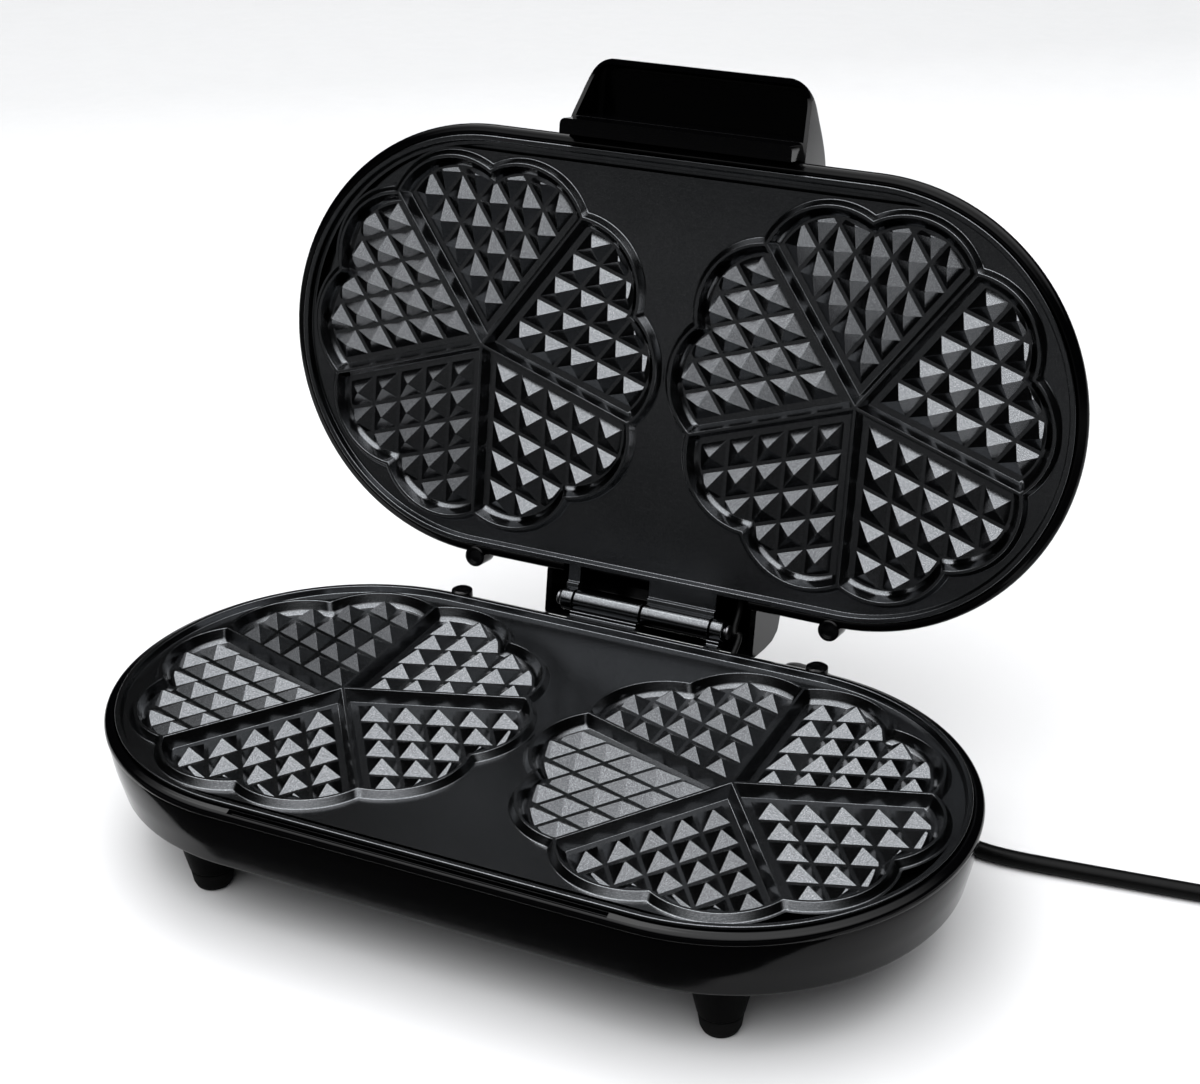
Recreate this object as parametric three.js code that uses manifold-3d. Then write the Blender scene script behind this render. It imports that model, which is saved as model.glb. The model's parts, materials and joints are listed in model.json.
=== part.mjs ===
// A double heart-waffle maker for table use, standing open, with its mains lead.
// Millimetres, +Z up. X runs along the two waffles, the handle is on the -Y side and the
// hinge on the +Y side. The origin is on the standing surface, under the middle of the
// open appliance.
//
// Everything is drawn in a working frame whose z = 0 is the plane where the two halves
// meet and whose y = 0 is the line through the centres of both waffles. The last section
// stands that frame on its feet. The lid is drawn closed and then turned about the hinge.

import * as THREE from 'three';
import { mergeVertices } from 'three/addons/utils/BufferGeometryUtils.js';
import Module from 'manifold-3d';

const wasm = await Module();
wasm.setup();

// ---------------------------------------------------------------- driving dimensions

const WAFFLE_X = 88; // each waffle's centre is this far from the middle
const RIM_R = 97.3; // round end of the housing at its widest
const PLATE_R = 92.7; // round end of the cooking plate
const GAP = 0.3; // clearance between pieces that touch
const HINGE_Y = 108.5; // hinge axis behind the waffle centres
const OPEN_DEG = 100.5; // how far the lid stands open
const STAND_H = 61.5; // meeting plane above the standing surface
const ORIGIN_Y = 41.06; // middle of the open appliance behind the waffle centres

const WALL = 2.5; // moulded housing wall
const END_STEPS = 16; // facets round each half-circle end of a housing
const ARC_STEPS = 5; // facets round each lobe of a heart

// the waffle: five hearts, ten lobes
const HEARTS = 5;
const LOBES = 2 * HEARTS;
const LOBE_TURN = Math.PI / LOBES; // half the angle that a lobe takes up
const LOBE_R = 31.5;
const LOBE_D = 53; // lobe centre from the waffle centre
const MOULD_TOP = -0.2; // bead and lip tops, just below the meeting plane
const LAND_Z = -3.1; // flat land between the waffles
const FLOOR_Z = -5.5; // bottom of the hearts
const PLATE_BOTTOM = -9; // underside of the rim that sits in the housing
const PLATE_BACK = -7.4; // underside of the rest
const PLATE_BACK_R = 87.6;
const BEAD_HALF = 0.6; // half the flat top of a bead or divider
const BEAD_FOOT = 2.5; // the bead's outer foot on the land, from its centreline
const DIVIDER_FOOT = 2.7; // foot of a divider's steep side, from its centreline
const LOBE_FOOT = 4.9; // foot of the shallower side under a lobe's bead
const PYRAMID_EDGE = 5.3; // the outer pyramids are cut off this far inside the bead
const PYRAMID_TOP = -1.6;
const PYRAMID_PITCH = 13.7;
const PYRAMID_FIRST = 11.8; // first apex, measured along both dividers
const PYRAMID_HALF = 5.95; // half its base along each divider
const PYRAMIDS_PER_ROW = [5, 5, 4, 3, 2];

// the hinge
const BARREL_R = 5;
const PIN_R = 1.9;
const BORE_R = PIN_R + GAP;
const LONG_KNUCKLE = [0.4, 32.8];
const SHORT_KNUCKLE = [33.4, 39.2];
const WEB_TOP = -2.6;
const WEB_BOTTOM = -6.6;
const NUB_X = 86;
const NUB_Y = 98.5;
const NUB_R = 4.8;

// the lid's middle band, from the cowl over the hinge to the handle
const BAND_HALF = 51;
const COWL_Y = 120.6;
const COWL_BOTTOM = 5.5;
const BAND_FRONT = -86;
const LAMP_X = [-9, 9];
const LAMP_Y = -52;
const LAMP_R = 3.6;

// feet and the mains lead
const FOOT_X = 112;
const FRONT_FOOT_Y = -67;
const REAR_FOOT_Y = 74; // set back, so that the open lid doesn't tip the appliance
const COVER_Z = -36; // underside of the base cover
const FOOT_BOSS_R = 12.9;
const LEAD_D = 7;
const LEAD_X = 62; // where the lead leaves the rear wall
const LEAD_Z = -23;
const RELIEF_R = 4.8; // strain relief where it passes through the wall
const COIL_CENTRE = [317, 45.7];
const COIL_R = 40; // middle of the coil's turns

// ---------------------------------------------------------------------- materials

const plastic = (color, roughness) => new THREE.MeshStandardMaterial({ color, roughness, metalness: 0 });
const metal = (color, roughness) => new THREE.MeshStandardMaterial({ color, roughness, metalness: 1 });

const LOOKS = {
  housing: plastic(0x0b0b0c, 0.18),
  cover: plastic(0x141415, 0.55),
  coating: new THREE.MeshStandardMaterial({ color: 0x2b2c2f, roughness: 0.5, metalness: 0.4 }),
  steel: metal(0x9a9b9d, 0.3),
  element: metal(0x6e6a66, 0.5),
  reflector: metal(0xb9babb, 0.35),
  ceramic: plastic(0xd8d4c8, 0.7),
  rubber: plastic(0x101010, 0.85),
  lead: plastic(0x0d0d0d, 0.5),
  redLens: plastic(0x8c1410, 0.2),
  greenLens: plastic(0x1c7a35, 0.2),
};

// ------------------------------------------------------------- outlines and solids

const degrees = (angle) => (angle * Math.PI) / 180;

function arc(centreX, centreY, radius, from, to, steps) {
  const points = [];
  for (let i = 0; i <= steps; i += 1) {
    const angle = from + ((to - from) * i) / steps;
    points.push(new THREE.Vector2(centreX + radius * Math.cos(angle), centreY + radius * Math.sin(angle)));
  }
  return points;
}

// a bar with half-circle ends round both waffle centres
function raceTrack(radius) {
  const right = arc(WAFFLE_X, 0, radius, -Math.PI / 2, Math.PI / 2, END_STEPS);
  const left = arc(-WAFFLE_X, 0, radius, Math.PI / 2, 1.5 * Math.PI, END_STEPS);
  return [...right, ...left];
}

// a closed solid through outlines of equal point count, listed from low to high
function loft(sections) {
  const count = sections[0].outline.length;
  const positions = [];
  const index = [];
  for (const { z, outline } of sections) {
    for (const point of outline) positions.push(point.x, point.y, z);
  }
  for (let s = 0; s < sections.length - 1; s += 1) {
    for (let i = 0; i < count; i += 1) {
      const a = s * count + i;
      const b = s * count + ((i + 1) % count);
      index.push(a, b, b + count, a, b + count, a + count);
    }
  }
  const top = (sections.length - 1) * count;
  for (const [i, j, k] of THREE.ShapeUtils.triangulateShape(sections[0].outline, [])) {
    index.push(i, k, j);
  }
  for (const [i, j, k] of THREE.ShapeUtils.triangulateShape(sections.at(-1).outline, [])) {
    index.push(top + i, top + j, top + k);
  }
  const geometry = new THREE.BufferGeometry();
  geometry.setAttribute('position', new THREE.Float32BufferAttribute(positions, 3));
  geometry.setIndex(index);
  return geometry;
}

function solid(geometry) {
  geometry.deleteAttribute('normal');
  geometry.deleteAttribute('uv');
  const merged = mergeVertices(geometry, 1e-4);
  const vertProperties = new Float32Array(merged.attributes.position.array);
  const triVerts = new Uint32Array(merged.index.array);
  return new wasm.Manifold(new wasm.Mesh({ numProp: 3, vertProperties, triVerts }));
}

function geometryOf(body) {
  const mesh = body.getMesh();
  const geometry = new THREE.BufferGeometry();
  geometry.setAttribute('position', new THREE.Float32BufferAttribute(mesh.vertProperties, 3));
  geometry.setIndex([...mesh.triVerts]);
  geometry.computeVertexNormals();
  return geometry;
}

const trackSolid = (profile) => solid(loft(profile.map(([z, radius]) => ({ z, outline: raceTrack(radius) }))));
const joined = (bodies) => bodies.reduce((sum, body) => sum.add(body));

function block([x0, x1], [y0, y1], [z0, z1]) {
  const geometry = new THREE.BoxGeometry(x1 - x0, y1 - y0, z1 - z0);
  geometry.translate((x0 + x1) / 2, (y0 + y1) / 2, (z0 + z1) / 2);
  return solid(geometry);
}

// a solid of revolution round Z; the profile runs upward from the axis to the axis
function turned(profile, steps) {
  return new THREE.LatheGeometry(profile.map(([r, z]) => new THREE.Vector2(r, z)), steps);
}

function upright(geometry) {
  geometry.rotateX(Math.PI / 2); // LatheGeometry turns round Y
  return geometry;
}

function rodAlongX([x0, x1], radius, y, z, steps = 20) {
  const geometry = new THREE.CylinderGeometry(radius, radius, x1 - x0, steps);
  geometry.rotateZ(Math.PI / 2);
  geometry.translate((x0 + x1) / 2, y, z);
  return geometry;
}

function rodAlongY([y0, y1], radius, x, z, steps = 20) {
  const geometry = new THREE.CylinderGeometry(radius, radius, y1 - y0, steps);
  geometry.translate(x, (y0 + y1) / 2, z);
  return geometry;
}

function rodAlongZ([z0, z1], radius, x, y, steps = 20) {
  const geometry = new THREE.CylinderGeometry(radius, radius, z1 - z0, steps);
  geometry.rotateX(Math.PI / 2);
  geometry.translate(x, y, (z0 + z1) / 2);
  return geometry;
}

// an outline given as [y, z] points, extruded along X
function slabAlongX([x0, x1], outline) {
  const shape = new THREE.Shape(outline.map(([y, z]) => new THREE.Vector2(y, z)));
  const geometry = new THREE.ExtrudeGeometry(shape, { depth: x1 - x0, bevelEnabled: false });
  geometry.rotateX(Math.PI / 2); // (y, z, x) to (y, -x, z)
  geometry.rotateZ(Math.PI / 2); // then to (x, y, z)
  geometry.translate(x0, 0, 0);
  return geometry;
}

// a round bar along a list of points
function tube(points, radius, steps, sides) {
  const path = new THREE.CatmullRomCurve3(points.map((p) => new THREE.Vector3(...p)), false, 'centripetal');
  const ring = new THREE.Shape(arc(0, 0, radius, 0, 2 * Math.PI * (1 - 1 / sides), sides - 1));
  return new THREE.ExtrudeGeometry(ring, { steps, extrudePath: path, bevelEnabled: false });
}

// ------------------------------------------------------------------ cooking plates

// a heart pointing along +X from the waffle centre, inset from its dividers and its lobes
function heartOutline(inset, lobeInset = inset) {
  const radius = LOBE_R - lobeInset;
  const side = LOBE_D * Math.sin(LOBE_TURN);
  const along = LOBE_D * Math.cos(LOBE_TURN);
  const half = 2 * LOBE_TURN;
  const notch = along + Math.sqrt(radius ** 2 - side ** 2);
  const reach = along + Math.sqrt(radius ** 2 - (side - inset) ** 2);
  const corner = new THREE.Vector2(reach, inset).rotateAround(new THREE.Vector2(), -half);
  const from = Math.atan2(corner.y + side, corner.x - along);
  const to = Math.atan2(side, notch - along);
  const lobe = arc(along, -side, radius, from, to, ARC_STEPS);
  const mirrored = lobe.map((p) => new THREE.Vector2(p.x, -p.y)).reverse().slice(1);
  return [new THREE.Vector2(inset / Math.sin(half), 0), ...lobe, ...mirrored];
}

// the ten-lobed edge of a whole waffle, drawn larger by the offset
function waffleOutline(offset) {
  const radius = LOBE_R + offset;
  const spread = LOBE_TURN + Math.asin((LOBE_D * Math.sin(LOBE_TURN)) / radius);
  const points = [];
  for (let i = 0; i < LOBES; i += 1) {
    const turn = (2 * i + 1) * LOBE_TURN - Math.PI / 2;
    const x = LOBE_D * Math.cos(turn);
    const y = LOBE_D * Math.sin(turn);
    points.push(...arc(x, y, radius, turn - spread, turn + spread, ARC_STEPS).slice(0, -1));
  }
  return points;
}

// one four-sided pyramid, its base sunk a little into the floor of the heart
function pyramid(row, column) {
  const sunk = FLOOR_Z - 0.3;
  const half = (PYRAMID_HALF * (PYRAMID_TOP - sunk)) / (PYRAMID_TOP - FLOOR_Z);
  const a = PYRAMID_FIRST + row * PYRAMID_PITCH;
  const b = PYRAMID_FIRST + column * PYRAMID_PITCH;
  const turn = 2 * LOBE_TURN;
  const place = (u, v) => [(u + v) * Math.cos(turn), (v - u) * Math.sin(turn)];
  const corners = [[a - half, b - half], [a + half, b - half], [a + half, b + half], [a - half, b + half]];
  const positions = [...corners.flatMap(([u, v]) => [...place(u, v), sunk]), ...place(a, b), PYRAMID_TOP];
  const geometry = new THREE.BufferGeometry();
  geometry.setAttribute('position', new THREE.Float32BufferAttribute(positions, 3));
  geometry.setIndex([0, 2, 1, 0, 3, 2, 0, 1, 4, 1, 2, 4, 2, 3, 4, 3, 0, 4]);
  return solid(geometry);
}

function heartPyramids() {
  const all = [];
  PYRAMIDS_PER_ROW.forEach((count, row) => {
    for (let column = 0; column < count; column += 1) all.push(pyramid(row, column));
  });
  const edge = heartOutline(PYRAMID_EDGE);
  const inside = solid(loft([{ z: FLOOR_Z - 1, outline: edge }, { z: 0, outline: edge }]));
  return joined(all).intersect(inside);
}

function heartPocket() {
  const above = 0.5;
  const insetAbove = (foot) => BEAD_HALF - ((foot - BEAD_HALF) / (MOULD_TOP - FLOOR_Z)) * above;
  return solid(loft([
    { z: FLOOR_Z, outline: heartOutline(DIVIDER_FOOT, LOBE_FOOT) },
    { z: MOULD_TOP + above, outline: heartOutline(insetAbove(DIVIDER_FOOT), insetAbove(LOBE_FOOT)) },
  ]));
}

function beadSolid() {
  const slope = (BEAD_FOOT - BEAD_HALF) / (MOULD_TOP - LAND_Z);
  const below = 1;
  return solid(loft([
    { z: LAND_Z - below, outline: waffleOutline(BEAD_FOOT + slope * below) },
    { z: MOULD_TOP, outline: waffleOutline(BEAD_HALF) },
  ]));
}

// a hinge knuckle with the web that carries it, between two places along X
function knuckle([x0, x1]) {
  const web = block([x0, x1], [PLATE_R - 1, HINGE_Y], [WEB_BOTTOM, WEB_TOP]);
  return web.add(solid(rodAlongX([x0, x1], BARREL_R, HINGE_Y, 0)));
}

// the die-cast plate of the base; the lid has the same casting, turned over
function plateBody() {
  const edge = [[PLATE_BOTTOM, PLATE_R - 0.7], [MOULD_TOP - 0.5, PLATE_R], [MOULD_TOP, PLATE_R - 0.4]];
  let body = trackSolid(edge);
  body = body.subtract(trackSolid([[LAND_Z, PLATE_R - 2.9], [MOULD_TOP + 1, PLATE_R - 2]]));
  body = body.subtract(trackSolid([[PLATE_BOTTOM - 1, PLATE_BACK_R], [PLATE_BACK, PLATE_BACK_R]]));
  const heart = heartPocket();
  const pyramids = heartPyramids();
  const bead = beadSolid();
  for (const side of [-1, 1]) {
    body = body.add(bead.translate([side * WAFFLE_X, 0, 0]));
    for (let i = 0; i < HEARTS; i += 1) {
      const turn = -90 + (360 / HEARTS) * i;
      body = body.subtract(heart.rotate([0, 0, turn]).translate([side * WAFFLE_X, 0, 0]));
      body = body.add(pyramids.rotate([0, 0, turn]).translate([side * WAFFLE_X, 0, 0]));
    }
    body = body.subtract(solid(rodAlongZ([PLATE_BOTTOM - 1, 1], NUB_R + 1.4, side * NUB_X, NUB_Y)));
  }
  const left = [-LONG_KNUCKLE[1], -LONG_KNUCKLE[0]];
  body = body.add(knuckle(left)).add(knuckle(SHORT_KNUCKLE));
  return body.subtract(solid(rodAlongX([-60, 60], BORE_R, HINGE_Y, 0)));
}

// --------------------------------------------------------------------- base housing

const RIM_PROFILE = [
  [-5.2, RIM_R - 0.2], [-3.6, RIM_R], [-2.4, RIM_R - 0.7], [-1.7, RIM_R - 2.4], [-1.4, 93.2],
];
const SEAT_Z = PLATE_BOTTOM - GAP; // the plate sits on a ledge inside the wall
const NOTCH_X = [-41, 48.3]; // opening in the rear rim for the knuckle webs
const NOTCH_Z = -8;
const GROOVE_HALF = 80; // finger groove along the front rim

// the room inside a housing: below the seat, through the seat and round the plate
function housingRoom(lowest, lowRadius) {
  const seatHole = [[SEAT_Z - 2.3, 89.4], [SEAT_Z + 0.01, 89.4]];
  const below = trackSolid([[lowest, lowRadius], [SEAT_Z - 2.2, 92.6]]);
  return joined([below, trackSolid(seatHole), trackSolid([[SEAT_Z, 93.1], [1, 93.1]])]);
}

function nub() {
  const post = upright(turned([[0, -11], [NUB_R, -11], [NUB_R, -1.3], [NUB_R - 0.6, -0.7], [0, -0.7]], 20));
  post.translate(NUB_X, NUB_Y, 0);
  return solid(post);
}

function nubs() {
  const right = nub();
  return right.add(right.translate([-2 * NUB_X, 0, 0]));
}

// shelf behind the rear wall that the open lid's cowl comes to rest against
function rearShelf() {
  const half = BAND_HALF - 1;
  return solid(slabAlongX([-half, half], [[94.6, -15.5], [110.9, -15.5], [111.6, -11.6], [94.6, -11.6]]));
}

function baseShell() {
  const side = [[-30.6, 91], [-29.8, 92.4], [-28.6, 93], [-17, 95.4], [-9, 96.5], [-5.6, 96.7]];
  let body = trackSolid([...side, ...RIM_PROFILE]).add(nubs());
  body = body.add(rearShelf());
  body = body.subtract(housingRoom(-31.5, 89.4));
  body = body.subtract(block([-GROOVE_HALF, GROOVE_HALF], [-96.2, -94], [-3.3, 1]));
  body = body.subtract(block(NOTCH_X, [88, 99.5], [NOTCH_Z, 1]));
  return body.subtract(solid(rodAlongY([85, 105], RELIEF_R + 0.4, LEAD_X, LEAD_Z)));
}

function baseCover() {
  let body = trackSolid([[COVER_Z, 76], [COVER_Z + 0.8, 78], [-31.2, 88.2], [-29.6, 89.3], [-27.5, 89.5]]);
  for (const x of [-FOOT_X, FOOT_X]) {
    for (const y of [FRONT_FOOT_Y, REAR_FOOT_Y]) {
      body = body.add(solid(rodAlongZ([COVER_Z, -31.5], FOOT_BOSS_R, x, y, 16)));
    }
  }
  body = body.subtract(trackSolid([[COVER_Z + 2.2, 76], [-31, 85.6], [-27, 86.6]]));
  for (let i = -4; i <= 4; i += 1) {
    for (const y of [-26, 26]) {
      body = body.subtract(block([14 * i - 2.5, 14 * i + 2.5], [y - 12, y + 12], [COVER_Z - 1, COVER_Z + 4]));
    }
  }
  return body;
}

const footPost = () => upright(turned([[0, -53], [9, -53], [12.3, COVER_Z - GAP], [0, COVER_Z - GAP]], 16));
const footPad = () => upright(turned([
  [0, -STAND_H], [5.6, -STAND_H], [7, -STAND_H + 0.8], [8, -58], [8.8, -53 - GAP], [0, -53 - GAP],
], 16));

// -------------------------------------------------------------------- inside parts

// the tubular heater bent round under both waffles, its two ends side by side at the rear
function heatingElement() {
  const z = PLATE_BACK - GAP - 3.3;
  const run = (centreX, from, to) => arc(centreX, 0, 52, from, to, 8).map((p) => [p.x, p.y, z]);
  const right = run(WAFFLE_X, Math.PI / 2, -Math.PI / 2);
  const left = run(-WAFFLE_X, 1.5 * Math.PI, Math.PI / 2);
  return tube([[14, 52, z], ...right, ...left, [-14, 52, z]], 3.2, 40, 6);
}

function reflectorTray() {
  const tray = trackSolid([[-22, 78], [-19.5, 82], [-18.6, 82]]);
  return tray.subtract(trackSolid([[-21.2, 77.4], [-19.2, 80.6], [-18, 80.6]]));
}

const thermostatBody = () => block([-13, 13], [-8, 8], [-16.5, PLATE_BACK - GAP]);
const fuseBody = () => rodAlongX([22, 44], 2.4, 0, PLATE_BACK - GAP - 2.4, 12);

// ------------------------------------------------------------------------------ lid

// the lid's outside in the closed position; grown by the gap it also trims the handle
function lidOutside(grow) {
  const rim = RIM_PROFILE.map(([z, radius]) => [-z, radius + grow]).reverse();
  const dome = [[6, 96.2], [9, 95], [14, 92.6], [20, 89.2], [27, 83.5], [32, 76], [35, 67], [36.2, 56]];
  const cap = dome.map(([z, radius]) => [z + grow, radius + grow]);
  const band = slabAlongX([-BAND_HALF - grow, BAND_HALF + grow], [
    [BAND_FRONT - grow, 12], [COWL_Y - 24, 12], [COWL_Y - 24, COWL_BOTTOM], [COWL_Y, COWL_BOTTOM],
    [COWL_Y - 0.2, 13], [COWL_Y - 1.3, 27], [COWL_Y - 2.8, 32], [COWL_Y - 5.6, 35.2], [COWL_Y - 11, 36.7],
    [66, 38 + grow], [-60, 38 + grow], [BAND_FRONT - grow, 36 + grow],
  ]);
  return trackSolid([...rim, ...cap]).add(solid(band));
}

// the hollow behind the hinge, inside the cowl and outside the domed wall
function cowlRoom() {
  const inner = COWL_Y - WALL;
  const outline = [
    [92, 0], [inner, 0], [inner - 0.2, 13], [inner - 1.3, 26], [inner - 3, 31], [inner - 6, 33.2], [92, 34.4],
  ];
  const room = solid(slabAlongX([WALL - BAND_HALF, BAND_HALF - WALL], outline));
  const domedWall = [[0, RIM_R], [5.2, 97.1], [9, 95], [14, 92.6], [20, 89.2], [27, 83.5], [35, 70]];
  return room.subtract(trackSolid(domedWall));
}

function lidShell() {
  const turnedOver = (body) => body.rotate([0, 180, 0]);
  const dome = trackSolid([[11, 92.4], [14, 90], [20, 86.4], [27, 80.5], [31.4, 74], [33.4, 64]]);
  const bandRoom = block([WALL - BAND_HALF, BAND_HALF - WALL], [-76, 76], [30, 35.4]);
  const seat = turnedOver(trackSolid([[SEAT_Z - 2.3, 89.4], [SEAT_Z + 0.01, 89.4]]));
  const aroundPlate = turnedOver(trackSolid([[SEAT_Z, 93.1], [1, 93.1]]));
  let body = lidOutside(0).add(turnedOver(nubs()));
  body = body.subtract(joined([dome, bandRoom, seat, aroundPlate]));
  body = body.subtract(cowlRoom());
  body = body.subtract(block(NOTCH_X, [88, 99.5], [-1, -NOTCH_Z]));
  for (const x of LAMP_X) body = body.subtract(solid(rodAlongZ([36.6, 40], LAMP_R + GAP, x, LAMP_Y, 16)));
  return body;
}

const lampLens = (x) => {
  const lens = upright(turned([[0, 36.9], [LAMP_R, 36.9], [LAMP_R, 38.4], [2.4, 39.5], [0, 39.9]], 16));
  lens.translate(x, LAMP_Y, 0);
  return lens;
};

// --------------------------------------------------------------------------- handle

const HANDLE_WALL = 1.8;
const BAR_HALF = 52.7;
const BAR_Y = [-105, -98.3];
const BAR_Z = -6; // the bar reaches down in front of the base's rim
const HANDLE_STATIONS = [
  { y: -86.4, half: 55.5, top: 36, bottom: 3 },
  { y: -98, half: 54.8, top: 33.4, bottom: 5 },
  { y: -105, half: 54, top: 31, bottom: 8 },
  { y: -113, half: 52.6, top: 28.2, bottom: 12.6 },
  { y: -121, half: 51, top: 25, bottom: 17 },
  { y: -125.6, half: 48.4, top: 22.8, bottom: 17.6 },
  { y: -128.4, half: 45, top: 20.8, bottom: 17.8 },
  { y: -129.6, half: 41.5, top: 19.4, bottom: 17.9 },
];

// a slice across the handle: flat below, with both upper edges rounded
function handleSection({ half, top, bottom }, edge) {
  const radius = Math.min(edge, (top - bottom) * 0.8);
  const right = arc(half - radius, top - radius, radius, 0, Math.PI / 2, 4);
  const left = arc(radius - half, top - radius, radius, Math.PI / 2, Math.PI, 4);
  return [new THREE.Vector2(-half, bottom), new THREE.Vector2(half, bottom), ...right, ...left];
}

// sections drawn in X and Z, stacked from the tip back toward the lid
function handleLoft(stations, edge) {
  const sections = stations.map((s) => ({ z: s.y, outline: handleSection(s, edge) })).reverse();
  const geometry = loft(sections);
  geometry.rotateX(Math.PI / 2); // (x, z, y) to (x, -y, z)
  geometry.scale(1, -1, 1);
  geometry.setIndex([...geometry.index.array].reverse());
  return solid(geometry);
}

function handleBody() {
  const outer = handleLoft(HANDLE_STATIONS, 5);
  const hollow = HANDLE_STATIONS.slice(2, 7).map(({ y, half, top, bottom }) => (
    { y: y + (y < -126 ? 1.2 : 0), half: half - HANDLE_WALL, top: top - HANDLE_WALL, bottom: bottom - 14 }
  ));
  let body = outer.add(block([-BAR_HALF, BAR_HALF], BAR_Y, [BAR_Z, 12]));
  body = body.subtract(handleLoft(hollow, 3));
  return body.subtract(lidOutside(GAP));
}

// ----------------------------------------------------------------------- small parts

const pinBody = () => rodAlongX([-40, 40], PIN_R, HINGE_Y, 0, 16);
const pinClip = (side) => {
  const near = 40 + GAP;
  return rodAlongX(side > 0 ? [near, near + 1.2] : [-near - 1.2, -near], 3.2, HINGE_Y, 0, 16);
};

// half of the wire that feeds the lid's heater; the two halves meet on the hinge axis
function linkWire(legX, endX, sign) {
  const bend = (legX + endX) / 2;
  const points = [
    [legX, 93.2, sign * -6.3], [legX, 99, sign * -5.6], [legX, HINGE_Y - 3, sign * -1.8],
    [(legX + bend) / 2, HINGE_Y - 0.7, sign * -0.3], [bend, HINGE_Y, 0], [endX, HINGE_Y, 0],
  ];
  return tube(points, 1.3, 12, 8);
}

function strainRelief() {
  const profile = [
    [0, 90.2], [RELIEF_R, 90.2], [RELIEF_R, 96.4], [6.8, 96.4], [6.8, 98.4], [6, 99.4], [5.4, 108], [4.6, 118],
    [0, 118],
  ];
  const relief = turned(profile, 16);
  relief.translate(LEAD_X, 0, LEAD_Z);
  return relief;
}

const terminalBlock = () => block([50, 70], [58, 72], [-31, -24]);

// --------------------------------------------------------------------- mains lead

const FLOOR = -STAND_H;
const ON_FLOOR = FLOOR + LEAD_D / 2 + 0.1;

const LEAD_ROUTE = [
  [LEAD_X, 118.3, LEAD_Z], [LEAD_X, 121.5, LEAD_Z], [62.2, 128.6, -24.4], [62.7, 136, -28], [64.1, 142.9, -32.6],
  [67.3, 149.4, -37.4],
  [72.3, 155.1, -42.2], [78.8, 159.3, -46.6], [86.7, 161.5, -50.3], [95.1, 161.3, -53.4], [103.4, 158.7, -55.8],
  [110.9, 154, -57.3], [116.9, 147.4, ON_FLOOR], [121.5, 139.5, ON_FLOOR], [129.8, 121.5, ON_FLOOR],
  [137.2, 103.5, ON_FLOOR], [146, 88, ON_FLOOR], [159, 78, ON_FLOOR], [176, 75.2, ON_FLOOR], [200, 77.6, ON_FLOOR],
  [228, 80.6, ON_FLOOR], [256, 83.6, ON_FLOOR], [282.8, 86.2, ON_FLOOR],
];

const PLUG_X = 357;
const PLUG_Z = FLOOR + 19.3;
const TAIL_ROUTE = [
  [PLUG_X, 14.6, FLOOR + 11.2], [PLUG_X, 9, FLOOR + 13.2], [PLUG_X, 4, FLOOR + 16], [PLUG_X, -1, FLOOR + 18.7],
  [PLUG_X, -5, PLUG_Z], [PLUG_X, -8, PLUG_Z],
];

// the coiled turns as one ring, two leads wide and two leads high
function coilRing() {
  const inside = COIL_R - LEAD_D - 0.2;
  const outside = COIL_R + LEAD_D + 0.2;
  const low = FLOOR + 0.1;
  const high = FLOOR + 2 * LEAD_D + 0.2;
  const cut = 2; // across each corner
  const profile = [
    [inside + cut, low], [outside - cut, low], [outside, low + cut], [outside, high - cut], [outside - cut, high],
    [inside + cut, high], [inside, high - cut], [inside, low + cut], [inside + cut, low],
  ];
  const ring = upright(turned(profile, 28));
  ring.translate(...COIL_CENTRE, 0);
  return ring;
}

// a round two-pin plug lying on its side, pins toward -Y
function plugBody() {
  const profile = [
    [0, -58], [16.5, -58], [17.5, -57], [18.8, -50], [19, -42], [17, -36], [12, -31], [8.5, -28.5], [6.4, -26],
    [4.6, -8.4], [0, -8.4],
  ];
  const plug = turned(profile, 18);
  plug.translate(PLUG_X, 0, PLUG_Z);
  return plug;
}

const plugPin = (side) => rodAlongY([-77.3, -58 - GAP], 2.4, PLUG_X + side * 9.5, PLUG_Z, 12);

// ------------------------------------------------------------------------ assembly

const baseGroup = new THREE.Group();
const lidGroup = new THREE.Group(); // drawn closed, turned about the hinge
const appliance = new THREE.Group();

function place(parent, name, shape, look) {
  const geometry = shape.isBufferGeometry ? shape : geometryOf(shape);
  const mesh = new THREE.Mesh(geometry, LOOKS[look]);
  mesh.name = name;
  parent.add(mesh);
  return mesh;
}

function addBase() {
  place(baseGroup, 'base_shell', baseShell(), 'housing');
  place(baseGroup, 'base_cover', baseCover(), 'cover');
  place(baseGroup, 'lower_reflector', reflectorTray(), 'reflector');
  place(baseGroup, 'lower_heating_element', heatingElement(), 'element');
  place(baseGroup, 'thermostat', thermostatBody(), 'ceramic');
  place(baseGroup, 'thermal_fuse', fuseBody(), 'steel');
  place(baseGroup, 'terminal_block', terminalBlock(), 'ceramic');
  place(baseGroup, 'hinge_pin', pinBody(), 'steel');
  place(baseGroup, 'pin_clip_left', pinClip(-1), 'steel');
  place(baseGroup, 'pin_clip_right', pinClip(1), 'steel');
  place(baseGroup, 'base_link_wire', linkWire(46.8, 45.1, 1), 'lead');
}

function addFeet() {
  for (const [yName, y] of [['front', FRONT_FOOT_Y], ['rear', REAR_FOOT_Y]]) {
    for (const [xName, x] of [['left', -FOOT_X], ['right', FOOT_X]]) {
      place(baseGroup, `foot_${yName}_${xName}`, footPost(), 'cover').position.set(x, y, 0);
      place(baseGroup, `foot_pad_${yName}_${xName}`, footPad(), 'rubber').position.set(x, y, 0);
    }
  }
}

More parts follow.
